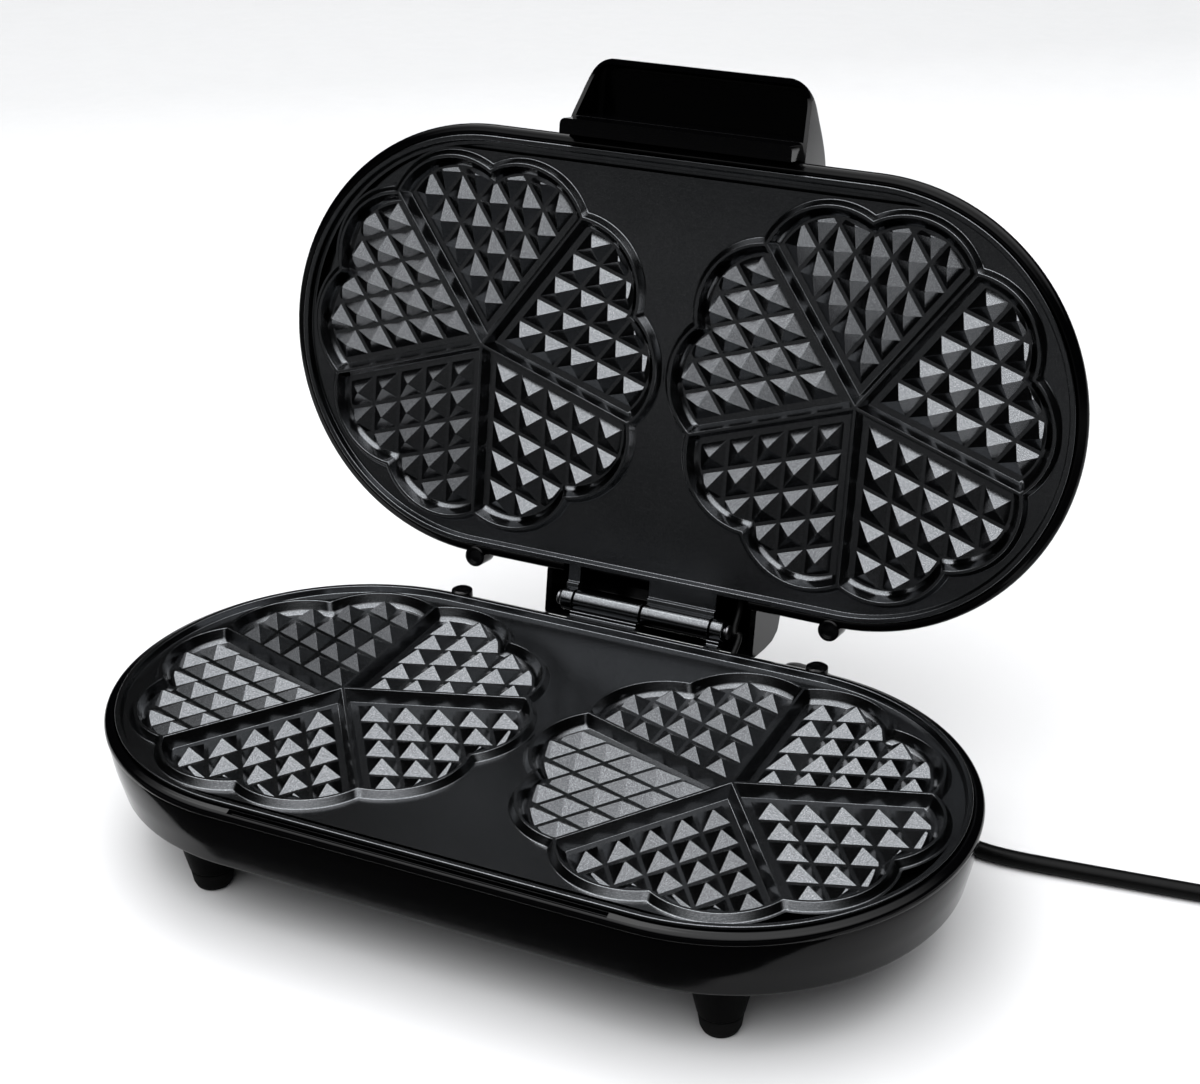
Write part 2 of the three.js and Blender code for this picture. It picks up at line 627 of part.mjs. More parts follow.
function addLead() {
  place(baseGroup, 'strain_relief', strainRelief(), 'rubber');
  place(baseGroup, 'lead_run', tube(LEAD_ROUTE, LEAD_D / 2, 36, 8), 'lead');
  place(baseGroup, 'lead_coil', coilRing(), 'lead');
  place(baseGroup, 'lead_tail', tube(TAIL_ROUTE, LEAD_D / 2, 8, 8), 'lead');
  place(baseGroup, 'plug_body', plugBody(), 'rubber');
  place(baseGroup, 'plug_pin_left', plugPin(-1), 'steel');
  place(baseGroup, 'plug_pin_right', plugPin(1), 'steel');
}

// the castings and heaters are the same in both halves, turned over about Y in the lid
function addTwins() {
  const plate = geometryOf(plateBody());
  place(baseGroup, 'lower_plate', plate, 'coating');
  place(lidGroup, 'upper_plate', plate, 'coating').rotation.y = Math.PI;
  place(lidGroup, 'upper_heating_element', heatingElement(), 'element').rotation.y = Math.PI;
  place(lidGroup, 'upper_reflector', reflectorTray(), 'reflector').rotation.y = Math.PI;
  place(lidGroup, 'upper_cutout', thermostatBody(), 'ceramic').rotation.y = Math.PI;
}

function addLid() {
  place(lidGroup, 'lid_shell', lidShell(), 'housing');
  place(lidGroup, 'handle', handleBody(), 'housing');
  place(lidGroup, 'lamp_power', lampLens(LAMP_X[0]), 'redLens');
  place(lidGroup, 'lamp_ready', lampLens(LAMP_X[1]), 'greenLens');
  place(lidGroup, 'lid_link_wire', linkWire(43.2, 44.8, -1), 'lead');
}

addBase();
addFeet();
addLead();
addTwins();
addLid();

for (const mesh of lidGroup.children) mesh.position.y -= HINGE_Y;
lidGroup.position.y = HINGE_Y;
lidGroup.rotation.x = -degrees(OPEN_DEG);
appliance.add(baseGroup, lidGroup);
appliance.position.set(0, -ORIGIN_Y, STAND_H);
appliance.updateMatrixWorld(true);

export default appliance;
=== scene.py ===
# A double heart-waffle maker standing open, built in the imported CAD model's frame.
# Millimetres are used throughout and turned into metres by MM. Like the CAD model, the
# shapes are drawn in a working frame whose z = 0 is the plane where the halves meet and
# whose y = 0 is the line through both waffles; to_row() carries a mesh into the row frame.

import json
import math

import bmesh
import bpy
from mathutils import Matrix, Vector


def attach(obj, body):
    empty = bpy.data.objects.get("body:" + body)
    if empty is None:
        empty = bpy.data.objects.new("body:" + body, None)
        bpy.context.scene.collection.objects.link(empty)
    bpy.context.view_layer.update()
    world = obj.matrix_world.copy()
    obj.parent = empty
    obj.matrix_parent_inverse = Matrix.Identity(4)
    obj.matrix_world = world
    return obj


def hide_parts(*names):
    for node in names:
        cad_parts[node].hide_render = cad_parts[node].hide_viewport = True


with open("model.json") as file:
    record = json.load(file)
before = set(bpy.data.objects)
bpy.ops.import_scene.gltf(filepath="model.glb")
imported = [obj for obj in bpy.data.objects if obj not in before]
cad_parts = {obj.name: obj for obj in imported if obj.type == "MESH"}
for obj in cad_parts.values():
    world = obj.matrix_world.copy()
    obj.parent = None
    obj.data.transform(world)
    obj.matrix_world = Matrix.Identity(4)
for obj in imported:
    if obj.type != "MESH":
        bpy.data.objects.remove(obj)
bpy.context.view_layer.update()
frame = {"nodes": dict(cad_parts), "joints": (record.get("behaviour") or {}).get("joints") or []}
MM = 0.001

# ------------------------------------------------------------------ driving dimensions

# where the halves meet and turn, in the working frame
HINGE_Y = 108.5
HINGE = Vector(frame["joints"][0]["pos_m"]) / MM
STAND_H = HINGE.z
ORIGIN_Y = HINGE_Y - HINGE.y
OPEN = math.radians(frame["joints"][0]["range_deg"][1])
GAP = 0.3

# the race track of a cooking plate: radii round the waffle centres, and heights
WAFFLE_X = 88
PLATE_R = 92.7
PLATE_BACK_R = 87.6
LIP_FOOT_R = PLATE_R - 4.4
MOULD_TOP = -0.2
LAND_Z = -3.1
FLOOR_Z = -5.5
PLATE_BACK = -7.4
PLATE_BOTTOM = -9

# hearts; insets are measured from the middle line of the ridge between or round them
HEARTS = 5
LOBES = 2 * HEARTS
LOBE_TURN = math.pi / LOBES
LOBE_R = 31.5
LOBE_D = 53
CREST_HALF = 0.12
BEAD_HALF = 0.6
BEAD_FOOT = 2.6
DIVIDER_FOOT = 2.7
LOBE_FOOT = 4.2
FLARE_FROM = 0.7
FLARE_SHARE = 0.65

PYRAMIDS_PER_ROW = (5, 5, 4, 3, 2)
PYRAMID_FIRST = 11.8
PYRAMID_PITCH = 13.7
PYRAMID_HALF = 5.95
PYRAMID_TOP = -1.6
PYRAMID_EDGE = 5.3

# hinge and alignment posts
BARREL_R = 5
PIN_R = 1.9
PIN_HALF = 40
CLIP = 1.2
LONG_KNUCKLE = (0.4, 32.8)
SHORT_KNUCKLE = (33.4, 39.2)
WEB_TOP = -2.6
WEB_BOTTOM = -6.6
POST_X = 86
POST_Y = 98.5
POST_R = 4.8
POST_END = -11

# both housings
RIM_R = 97.3
RECESS_R = 93.15
SEAT_R = 89.4
SEAT_Z = PLATE_BOTTOM - GAP
SEAT_DEPTH = 2.3
NOTCH_X = (-41, 48.3)
NOTCH_Y = (88, 99.5)
NOTCH_Z = -8
WALL = 2.5

# lid
BAND_HALF = 51
BAND_FRONT = -86
COWL_Y = 120.6
COWL_BOTTOM = 5.5
LAMP_X = (-9, 9)
LAMP_Y = -52
LAMP_R = 3.6

# base
GROOVE_HALF = 80
GROOVE_Y = (-96.2, -94)
GROOVE_Z = (-3.3, 1)
FOOT_X = 112
FOOT_Y = (-67, 74)
FOOT_BOSS_R = 12.9
COVER_Z = -36
SCREW_SEAT = COVER_Z + 1.5
SCREW_PLACES = [(x, y) for y in (-46, 46) for x in (-84, 84)]
VENT_PITCH = 14
VENT_Y = 26

# mains lead
LEAD_D = 7
LEAD_X = 62
LEAD_Z = -23
RELIEF_R = 4.8
COIL_CENTRE = (317, 45.7)
OUTER_TURN = 43.6
INNER_TURN = 36.4
TOP_TURN = 40
STEP_IN = (0.83, 1.0)
STEP_UP = (1.66, 1.86)
ON_TOP = 6.1
PLUG_X = 357
PLUG_AXIS = 19.3
PLUG_PIN_X = 9.5

# how finely the curves are cut
END_STEPS = 72
LOBE_STEPS = 26
SIDE_STEPS = 14
TURN_STEPS = 36

# camera: angles in degrees, distance in metres, target in the working frame
CAMERA_AZIMUTH = 24.065
CAMERA_ELEVATION = 25.397
CAMERA_DISTANCE = 0.88375
CAMERA_TARGET = (29.98, 71.03, 80.03)
CAMERA_LENS = 64.96
CAMERA_SHIFT = (-0.0587, -0.0382)

# light, in metres
KEY_PLACE = (-0.7, 0.5, 1.6)
KEY_AIM = (0, 0, 0.1)
KEY_SIZE = 0.9
KEY_POWER = 10.8
DOME_LEAN = (0, -0.2, 1)
DOME_EDGE = 0.56
DOME_FULL = 0.9
DOME_LIGHT = 5.3
# strengths at heights from straight down, 0, to straight up, 1
GROUND_LIGHT = [(0.35, 0.075), (0.43, 0.08), (0.5, 0.38), (0.55, 0.0)]
DAYLIGHT = (0.985, 0.99, 1, 1)
BACKDROP = 0.97

# floor: how far it reaches, and the border between its two sheets
FLOOR_REACH = 6000
SHADE_LINE = -150

# ---------------------------------------------------------------------- scene set-up


def clear_defaults():
    for name in ("Cube", "Light", "Camera"):
        if name in bpy.data.objects and name not in frame["nodes"]:
            bpy.data.objects.remove(bpy.data.objects[name])


def add_camera():
    """The main view, from the front and right, with a shifted lens."""
    azimuth = math.radians(CAMERA_AZIMUTH)
    elevation = math.radians(CAMERA_ELEVATION)
    back = Vector((
        math.sin(azimuth) * math.cos(elevation),
        -math.cos(azimuth) * math.cos(elevation),
        math.sin(elevation),
    ))
    data = bpy.data.cameras.new("camera")
    data.sensor_width = 36
    data.sensor_fit = "HORIZONTAL"
    data.lens = CAMERA_LENS
    data.shift_x, data.shift_y = CAMERA_SHIFT
    data.clip_start = 0.05
    data.clip_end = 20
    camera = bpy.data.objects.new("camera", data)
    x, y, z = CAMERA_TARGET
    target = Vector((x, y - ORIGIN_Y, z + STAND_H)) * MM
    camera.location = target + back * CAMERA_DISTANCE
    camera.rotation_mode = "QUATERNION"
    camera.rotation_quaternion = (-back).to_track_quat("-Z", "Y")
    bpy.context.scene.collection.objects.link(camera)
    bpy.context.scene.camera = camera


# ------------------------------------------------------------------- material makers


def new_material(name):
    material = bpy.data.materials.new(name)
    material.use_nodes = True
    shader = material.node_tree.nodes["Principled BSDF"]
    return material, material.node_tree, shader


def noise(tree, scale, detail=3, roughness=0.55, stretch=None):
    """A noise texture in object space, its scale in features per metre."""
    coords = tree.nodes.new("ShaderNodeTexCoord")
    texture = tree.nodes.new("ShaderNodeTexNoise")
    texture.inputs["Scale"].default_value = scale
    texture.inputs["Detail"].default_value = detail
    texture.inputs["Roughness"].default_value = roughness
    source = coords.outputs["Object"]
    if stretch:
        mapping = tree.nodes.new("ShaderNodeMapping")
        mapping.inputs["Scale"].default_value = stretch
        tree.links.new(source, mapping.inputs["Vector"])
        source = mapping.outputs["Vector"]
    tree.links.new(source, texture.inputs["Vector"])
    return texture.outputs["Fac"]


def spread(tree, value, low, high, out_low, out_high):
    """Maps a value from low..high to out_low..out_high."""
    node = tree.nodes.new("ShaderNodeMapRange")
    node.inputs["From Min"].default_value = low
    node.inputs["From Max"].default_value = high
    node.inputs["To Min"].default_value = out_low
    node.inputs["To Max"].default_value = out_high
    tree.links.new(value, node.inputs["Value"])
    return node.outputs["Result"]


def tint(tree, value, dark, light):
    """A colour between dark and light, chosen by a value from 0 to 1."""
    node = tree.nodes.new("ShaderNodeMix")
    node.data_type = "RGBA"
    node.inputs["A"].default_value = (*dark, 1)
    node.inputs["B"].default_value = (*light, 1)
    tree.links.new(value, node.inputs["Factor"])
    return node.outputs["Result"]


def along(tree, vector, direction):
    """How far a vector reaches in one direction."""
    node = tree.nodes.new("ShaderNodeVectorMath")
    node.operation = "DOT_PRODUCT"
    node.inputs[1].default_value = Vector(direction).normalized()
    tree.links.new(vector, node.inputs[0])
    return node.outputs["Value"]


def bump(tree, height, distance, strength, under=None):
    """A bump of that real height in metres, on top of the bump given as under."""
    node = tree.nodes.new("ShaderNodeBump")
    node.inputs["Strength"].default_value = strength
    node.inputs["Distance"].default_value = distance
    tree.links.new(height, node.inputs["Height"])
    if under:
        tree.links.new(under, node.inputs["Normal"])
    return node.outputs["Normal"]


def colour_by(tree, shader, value, dark, light):
    tree.links.new(tint(tree, value, dark, light), shader.inputs["Base Color"])


def rough_by(tree, shader, value, low, high):
    """A roughness from low to high, chosen by a noise."""
    tree.links.new(spread(tree, value, 0.3, 0.7, low, high), shader.inputs["Roughness"])


def bumpy(tree, shader, height, distance, strength, under=None):
    tree.links.new(bump(tree, height, distance, strength, under), shader.inputs["Normal"])


def coating_material():
    """Dark non-stick coating on cast aluminium: a sandy metallic grain with fine flecks."""
    material, tree, shader = new_material("nonstick_coating")
    cloud = spread(tree, noise(tree, 38, 4), 0.35, 0.65, 0.0, 1.0)
    grain = noise(tree, 1900, 3, 0.6)
    flecks = spread(tree, noise(tree, 4200, 1, 0.5), 0.52, 0.7, 0.0, 0.5)
    lift = tree.nodes.new("ShaderNodeMix")
    lift.data_type = "RGBA"
    lift.inputs["B"].default_value = (0.25, 0.254, 0.262, 1)
    tree.links.new(tint(tree, cloud, (0.054, 0.0566, 0.06), (0.063, 0.0656, 0.069)), lift.inputs["A"])
    tree.links.new(flecks, lift.inputs["Factor"])
    tree.links.new(lift.outputs["Result"], shader.inputs["Base Color"])
    rough_by(tree, shader, grain, 0.155, 0.215)
    shader.inputs["Metallic"].default_value = 1
    orange_peel = bump(tree, noise(tree, 420, 1), 0.00003, 0.5)
    bumpy(tree, shader, grain, 0.00002, 0.6, orange_peel)
    return material


def gloss_material():
    """Deep black moulded plastic with faint moulding ripple, dust and hairline marks."""
    material, tree, shader = new_material("gloss_black")
    dust = spread(tree, noise(tree, 900, 3, 0.65), 0.62, 0.8, 0.0, 0.2)
    colour_by(tree, shader, dust, (0.0004, 0.0004, 0.0005), (0.007, 0.007, 0.0073))
    marks = noise(tree, 160, 5, 0.75, (1, 6, 1))
    tree.links.new(spread(tree, marks, 0.3, 0.75, 0.08, 0.16), shader.inputs["Roughness"])
    shader.inputs["Specular IOR Level"].default_value = 0.11
    ripple = bump(tree, noise(tree, 55, 1), 0.00025, 0.1)
    bumpy(tree, shader, noise(tree, 1400, 2), 0.00002, 0.35, ripple)
    return material


def satin_material():
    """Spark-eroded satin black plastic of the underside and the feet."""
    material, tree, shader = new_material("satin_black")
    grain = noise(tree, 1500, 4, 0.7)
    colour_by(tree, shader, grain, (0.0003, 0.0003, 0.0003), (0.0014, 0.0014, 0.0015))
    rough_by(tree, shader, grain, 0.38, 0.55)
    shader.inputs["Specular IOR Level"].default_value = 0.02
    bumpy(tree, shader, grain, 0.00006, 0.7)
    return material


def rubber_material():
    material, tree, shader = new_material("black_rubber")
    grain = noise(tree, 1100, 4, 0.6)
    colour_by(tree, shader, grain, (0.0005, 0.0005, 0.0005), (0.002, 0.002, 0.002))
    shader.inputs["Specular IOR Level"].default_value = 0.08
    rough_by(tree, shader, noise(tree, 90, 3), 0.62, 0.8)
    bumpy(tree, shader, grain, 0.0001, 0.5)
    return material


def lead_material():
    """Smooth extruded cable sheath, faintly uneven."""
    material, tree, shader = new_material("cable_sheath")
    soft = noise(tree, 220, 3)
    colour_by(tree, shader, soft, (0.0005, 0.0005, 0.0005), (0.0015, 0.0015, 0.0015))
    shader.inputs["Specular IOR Level"].default_value = 0.06
    rough_by(tree, shader, noise(tree, 700, 3), 0.3, 0.44)
    bumpy(tree, shader, noise(tree, 900, 2), 0.00005, 0.4)
    return material


def steel_material(name, colour, roughness, stretch):
    """Drawn metal, its fine lines along the axes that the stretch scales by 1."""
    material, tree, shader = new_material(name)
    lines = noise(tree, 900, 4, 0.7, stretch)
    colour_by(tree, shader, lines, [0.82 * c for c in colour], colour)
    shader.inputs["Metallic"].default_value = 1
    rough_by(tree, shader, lines, roughness - 0.06, roughness + 0.08)
    bumpy(tree, shader, lines, 0.00003, 0.5)
    return material


def element_material():
    """Heater sheath, its steel straw-brown and blue from heat."""
    material, tree, shader = new_material("heat_tinted_steel")
    bands = spread(tree, noise(tree, 30, 3), 0.35, 0.65, 0.0, 1.0)
    colour_by(tree, shader, bands, (0.2, 0.16, 0.13), (0.14, 0.15, 0.19))
    shader.inputs["Metallic"].default_value = 1
    rough_by(tree, shader, noise(tree, 600, 3), 0.4, 0.6)
    bumpy(tree, shader, noise(tree, 1200, 3), 0.00006, 0.5)
    return material


def ceramic_material():
    material, tree, shader = new_material("steatite")
    grain = noise(tree, 700, 4, 0.65)
    colour_by(tree, shader, grain, (0.62, 0.58, 0.5), (0.76, 0.73, 0.66))
    rough_by(tree, shader, grain, 0.5, 0.75)
    bumpy(tree, shader, grain, 0.0001, 0.5)
    return material


def lens_material(name, dark, light):
    """Clear lamp lens, its tint a little cloudy."""
    material, tree, shader = new_material(name)
    cloud = spread(tree, noise(tree, 350, 2), 0.35, 0.65, 0.0, 1.0)
    colour_by(tree, shader, cloud, dark, light)
    rough_by(tree, shader, noise(tree, 500, 2), 0.06, 0.14)
    shader.inputs["Transmission Weight"].default_value = 0.35
    shader.inputs["IOR"].default_value = 1.5
    bumpy(tree, shader, noise(tree, 900, 1), 0.00003, 0.4)
    return material


def floor_material():
    material, tree, shader = new_material("studio_floor")
    coords = tree.nodes.new("ShaderNodeTexCoord")
    # painted shade: the floor's colour darkens towards the back left, so the far floor reads grey as if
    # less light reached it there
    far = spread(tree, along(tree, coords.outputs["Object"], (-0.6, 0.8, 0)), 0.6, 1.25, 0.0, 1.0)
    colour_by(tree, shader, far, (0.5, 0.5, 0.503), (0.375, 0.376, 0.378))
    rough_by(tree, shader, noise(tree, 40, 3), 0.5, 0.6)
    shader.inputs["Specular IOR Level"].default_value = 0.3
    return material


# ------------------------------------------------------------- outlines and profiles


def arc(centre_x, centre_y, radius, start, end, steps):
    points = []
    for i in range(steps + 1):
        angle = start + (end - start) * i / steps
        points.append((centre_x + radius * math.cos(angle), centre_y + radius * math.sin(angle)))
    return points


def circle(radius, steps):
    return arc(0, 0, radius, 0, 2 * math.pi, steps)[:-1]


def rectangle(a_span, b_span):
    (a0, a1), (b0, b1) = a_span, b_span
    return [(a0, b0), (a1, b0), (a1, b1), (a0, b1)]


def rounded(points, radius, steps=4, closed=True):
    """The outline with each corner replaced by an arc of about that radius."""
    result = []
    count = len(points)
    for i, point in enumerate(points):
        if not closed and i in (0, count - 1):
            result.append(point)
            continue
        here = Vector(point)
        before = Vector(points[i - 1]) - here
        after = Vector(points[(i + 1) % count]) - here
        turn = math.pi - before.angle(after)
        if turn < 0.12:
            result.append(point)
            continue
        reach = min(radius * math.tan(turn / 2), 0.45 * before.length, 0.45 * after.length)
        start = here + before.normalized() * reach
        end = here + after.normalized() * reach
        for k in range(steps + 1):
            t = k / steps
            p = start * (1 - t) ** 2 + here * 2 * t * (1 - t) + end * t ** 2
            result.append((p.x, p.y))
    return result


def catmull_rom(points, steps):
    """A smooth curve through the points, up to but without the last of them."""
    line = []
    last = len(points) - 1
    for i in range(last):
        p0, p1, p2, p3 = (Vector(points[min(max(k, 0), last)]) for k in (i - 1, i, i + 1, i + 2))
        for k in range(steps):
            t = k / steps
            line.append(0.5 * (
                2 * p1 + (p2 - p0) * t + (2 * p0 - 5 * p1 + 4 * p2 - p3) * t ** 2
                + (3 * p1 - p0 - 3 * p2 + p3) * t ** 3
            ))
    return line


def smooth_line(points, steps):
    """A smooth curve through (a, b) points."""
    return [*((p.x, p.y) for p in catmull_rom(points, steps)), points[-1]]


def race_track(radius):
    """A bar with half-circle ends round both waffle centres."""
    right = arc(WAFFLE_X, 0, radius, -math.pi / 2, math.pi / 2, END_STEPS)
    left = arc(-WAFFLE_X, 0, radius, math.pi / 2, 1.5 * math.pi, END_STEPS)
    return right + left


def heart_outline(inset, lobe_inset=None):
    """A heart pointing along +X from the waffle centre, inset from dividers and lobes."""
    radius = LOBE_R - (inset if lobe_inset is None else lobe_inset)
    side = LOBE_D * math.sin(LOBE_TURN)
    centre = LOBE_D * math.cos(LOBE_TURN)
    half = 2 * LOBE_TURN
    notch = centre + math.sqrt(radius ** 2 - side ** 2)
    reach = centre + math.sqrt(radius ** 2 - (side - inset) ** 2)
    corner_x = reach * math.cos(half) + inset * math.sin(half)
    corner_y = inset * math.cos(half) - reach * math.sin(half)
    start = math.atan2(corner_y + side, corner_x - centre)
    end = math.atan2(side, notch - centre)
    lobe = arc(centre, -side, radius, start, end, LOBE_STEPS)
    mirrored = [(x, -y) for x, y in reversed(lobe)][1:]
    return [(inset / math.sin(half), 0), *lobe, *mirrored]


def waffle_outline(offset):
    """The ten-lobed edge of a whole waffle, larger by the offset."""
    radius = LOBE_R + offset
    swing = LOBE_TURN + math.asin(LOBE_D * math.sin(LOBE_TURN) / radius)
    points = []
    for i in range(LOBES):
        turn = (2 * i + 1) * LOBE_TURN - math.pi / 2
        x = LOBE_D * math.cos(turn)
        y = LOBE_D * math.sin(turn)
        points.extend(arc(x, y, radius, turn - swing, turn + swing, LOBE_STEPS)[:-1])
    return points


# -------------------------------------------------------------------- mesh builders


class Shape:
    """A growing bmesh in working-frame millimetres."""

    def __init__(self):
        self.mesh = bmesh.new()

    def ring(self, points):
        return [self.mesh.verts.new(p) for p in points]

    def level(self, outline, z):
        """A ring along an (x, y) outline at height z."""
        return self.ring([(x, y, z) for x, y in outline])

    def bridge(self, low, high):
        """A closed band of faces between two rings of equal count."""
        count = len(low)
        for i in range(count):
            j = (i + 1) % count
            self.mesh.faces.new((low[i], low[j], high[j], high[i]))

    def bands(self, rings):
        for low, high in zip(rings, rings[1:]):
            self.bridge(low, high)

    def skin(self, rings):
        """Bands through the rings, closed by a cap at each end."""
        self.bands(rings)
        self.mesh.faces.new(list(reversed(rings[0])))
        self.mesh.faces.new(rings[-1])

    def absorb(self, other, matrix=Matrix.Identity(4)):
        """Adds a copy of another shape, moved by the matrix."""
        data = bpy.data.meshes.new("part")
        other.mesh.to_mesh(data)
        data.transform(matrix)
        self.mesh.from_mesh(data)
        bpy.data.meshes.remove(data)
        return self

    def moved(self, matrix):
        return Shape().absorb(self, matrix)


def loft(sections):
    """A closed solid through (z, outline) pairs, listed from low to high."""
    shape = Shape()
    shape.skin([shape.level(outline, z) for z, outline in sections])
    return shape


def track_solid(profile):
    return loft([(z, race_track(radius)) for z, radius in profile])


def swept(profile, outline_at):
    """A closed (radius, z) profile swept round the outline that goes with each radius."""
    shape = Shape()
    rings = [shape.level(outline_at(radius), z) for radius, z in profile]
    shape.bands(rings + rings[:1])
    return shape


def ring_solid(profile, sides):
    """A closed (radius, z) profile turned round Z."""
    return swept(profile, lambda radius: circle(radius, sides))


def turned(points, edge, sides, steps=4):
    """A solid turned round Z; the (radius, z) points start and end on it, corners are rounded."""
    profile = rounded(points, edge, steps, closed=False)
    shape = Shape()
    rings = [shape.level(circle(radius, sides), z) for radius, z in profile[1:-1]]
    shape.bands(rings)
    for ring, z, flip in ((rings[0], profile[0][1], True), (rings[-1], profile[-1][1], False)):
        tip = shape.mesh.verts.new((0, 0, z))
        for i, vertex in enumerate(ring):
            corner = (vertex, ring[(i + 1) % sides], tip)
            shape.mesh.faces.new(corner[::-1] if flip else corner)
    return shape


def slab_along_x(x0, x1, outline):
    """A (y, z) outline extruded along X."""
    shape = Shape()
    near = shape.ring([(x0, y, z) for y, z in outline])
    far = shape.ring([(x1, y, z) for y, z in outline])
    shape.skin([near, far])
    return shape


def block(x_span, y_span, z_span):
    return slab_along_x(*x_span, rectangle(y_span, z_span))


def rod(z0, z1, radius, sides, edge=0.0):
    """A round bar along Z, its ends softened by the edge."""
    return turned([(0, z0), (radius, z0), (radius, z1), (0, z1)], edge, sides)


def on_hinge(shape):
    """Lays a solid that stands along Z on the hinge axis, along X."""
    return shape.moved(Matrix.Translation((0, HINGE_Y, 0)) @ Matrix.Rotation(math.pi / 2, 4, "Y"))


def along_y(shape, x, z):
    """Lays a solid that stands along Z along Y, through x and z."""
    return shape.moved(Matrix.Translation((x, 0, z)) @ Matrix.Rotation(-math.pi / 2, 4, "X"))


def at(shape, x, y):
    return shape.moved(Matrix.Translation((x, y, 0)))


def at_posts(shape):
    """The shape at both alignment posts' places, right and left."""
    return at(shape, POST_X, POST_Y).absorb(at(shape, -POST_X, POST_Y))


def tidy(shape):
    bmesh.ops.remove_doubles(shape.mesh, verts=shape.mesh.verts, dist=1e-4)
    bmesh.ops.recalc_face_normals(shape.mesh, faces=shape.mesh.faces)
    return shape


def scratch_object(shape):
    """A temporary object that a boolean can work on."""
    tidy(shape)
    data = bpy.data.meshes.new("scratch")
    shape.mesh.to_mesh(data)
    thing = bpy.data.objects.new("scratch", data)
    bpy.context.scene.collection.objects.link(thing)
    return thing


def combine(shape, other, operation):
    """The exact UNION, DIFFERENCE or INTERSECT of two shapes."""
    body = scratch_object(shape)
    tool = scratch_object(other)
    modifier = body.modifiers.new("combine", "BOOLEAN")
    modifier.operation = operation
    modifier.object = tool
    modifier.solver = "EXACT"
    graph = bpy.context.evaluated_depsgraph_get()
    result = Shape()
    result.mesh.from_mesh(body.evaluated_get(graph).to_mesh())
    for thing in (body, tool):
        data = thing.data
        bpy.data.objects.remove(thing)
        bpy.data.meshes.remove(data)
    return result


def to_row(opened=False):
    """Working frame to row frame in metres; lid pieces are drawn closed and then opened."""
    matrix = Matrix.Translation((0, -ORIGIN_Y, STAND_H))
    if opened:
        turn = Matrix.Rotation(-OPEN, 4, "X")
        matrix = matrix @ Matrix.Translation((0, HINGE_Y, 0)) @ turn @ Matrix.Translation((0, -HINGE_Y, 0))
    return Matrix.Scale(MM, 4) @ matrix


def piece(name, shape, material, body, replaced=(), bevel=0.0, sharp=32, steps=2, flat_faces=False):
    """A finished piece: the shape in the row frame, riding on its body."""
    tidy(shape)
    data = bpy.data.meshes.new(name)
    shape.mesh.to_mesh(data)
    data.transform(to_row(body == "lid"))
    data.materials.append(material)
    for polygon in data.polygons:
        polygon.use_smooth = True
    data.set_sharp_from_angle(angle=math.radians(sharp))
    thing = bpy.data.objects.new(name, data)
    bpy.context.scene.collection.objects.link(thing)
    if bevel:
        modifier = thing.modifiers.new("bevel", "BEVEL")
        modifier.width = bevel * MM
        modifier.segments = steps
        modifier.limit_method = "ANGLE"
        modifier.angle_limit = math.radians(sharp)
        modifier.harden_normals = True
        modifier.miter_outer = "MITER_ARC"
    if flat_faces:
        modifier = thing.modifiers.new("flat faces", "WEIGHTED_NORMAL")
        modifier.keep_sharp = True
        modifier.weight = 100
    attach(thing, body)
    if replaced:
        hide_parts(*replaced)
    return thing


# ----------------------------------------------------------------------------- lead


def eased(value, start, end):
    """From 0 at the start to 1 at the end, without a kink."""
    t = min(1, max(0, (value - start) / (end - start)))
    return t * t * (3 - 2 * t)


def lead_route():
    """The lead's run over the surface, then its coil, then the stretch into the plug."""
    floor = -STAND_H
    axis = floor + PLUG_AXIS
    low = floor + LEAD_D / 2 + 0.1
    high = low + ON_TOP
    points = [
        (LEAD_X, 106, LEAD_Z), (LEAD_X, 112, LEAD_Z), (LEAD_X, 118.3, LEAD_Z), (LEAD_X, 121.5, LEAD_Z),
        (62.2, 128.6, -24.4), (62.7, 136, -28), (64.1, 142.9, -32.6), (67.3, 149.4, -37.4),
        (72.3, 155.1, -42.2), (78.8, 159.3, -46.6), (86.7, 161.5, -50.3), (95.1, 161.3, -53.4),
        (103.4, 158.7, -55.8), (110.9, 154, -57.3), (116.9, 147.4, low), (121.5, 139.5, low),
        (129.8, 121.5, low), (137.2, 103.5, low), (146, 88, low), (159, 78, low), (176, 75.2, low),
        (200, 77.6, low), (228, 80.6, low), (256, 83.6, low), (282.8, 86.8, low),
    ]
    entry = math.radians(97.5)
    total = entry + 4 * math.pi
    steps = round(TURN_STEPS * total / (2 * math.pi))
    for i in range(steps + 1):
        run = total * i / steps
        turns = run / (2 * math.pi)
        inward = eased(turns, *STEP_IN)
        rise = eased(turns, *STEP_UP)
        radius = OUTER_TURN + (INNER_TURN - OUTER_TURN) * inward + (TOP_TURN - INNER_TURN) * rise
        angle = entry - run
        x = COIL_CENTRE[0] + radius * math.cos(angle)
        y = COIL_CENTRE[1] + radius * math.sin(angle)
        points.append((x, y, low + (high - low) * rise))
    points.extend([
        (PLUG_X, 34, high), (PLUG_X, 25, high + 0.3), (PLUG_X, 17.2, high + 1.6), (PLUG_X, 10, high + 4),
        (PLUG_X, 3, high + 7), (PLUG_X, -3.5, axis - 0.4), (PLUG_X, -9, axis), (PLUG_X, -14, axis),
    ])
    return [to_row() @ Vector(p) for p in points]


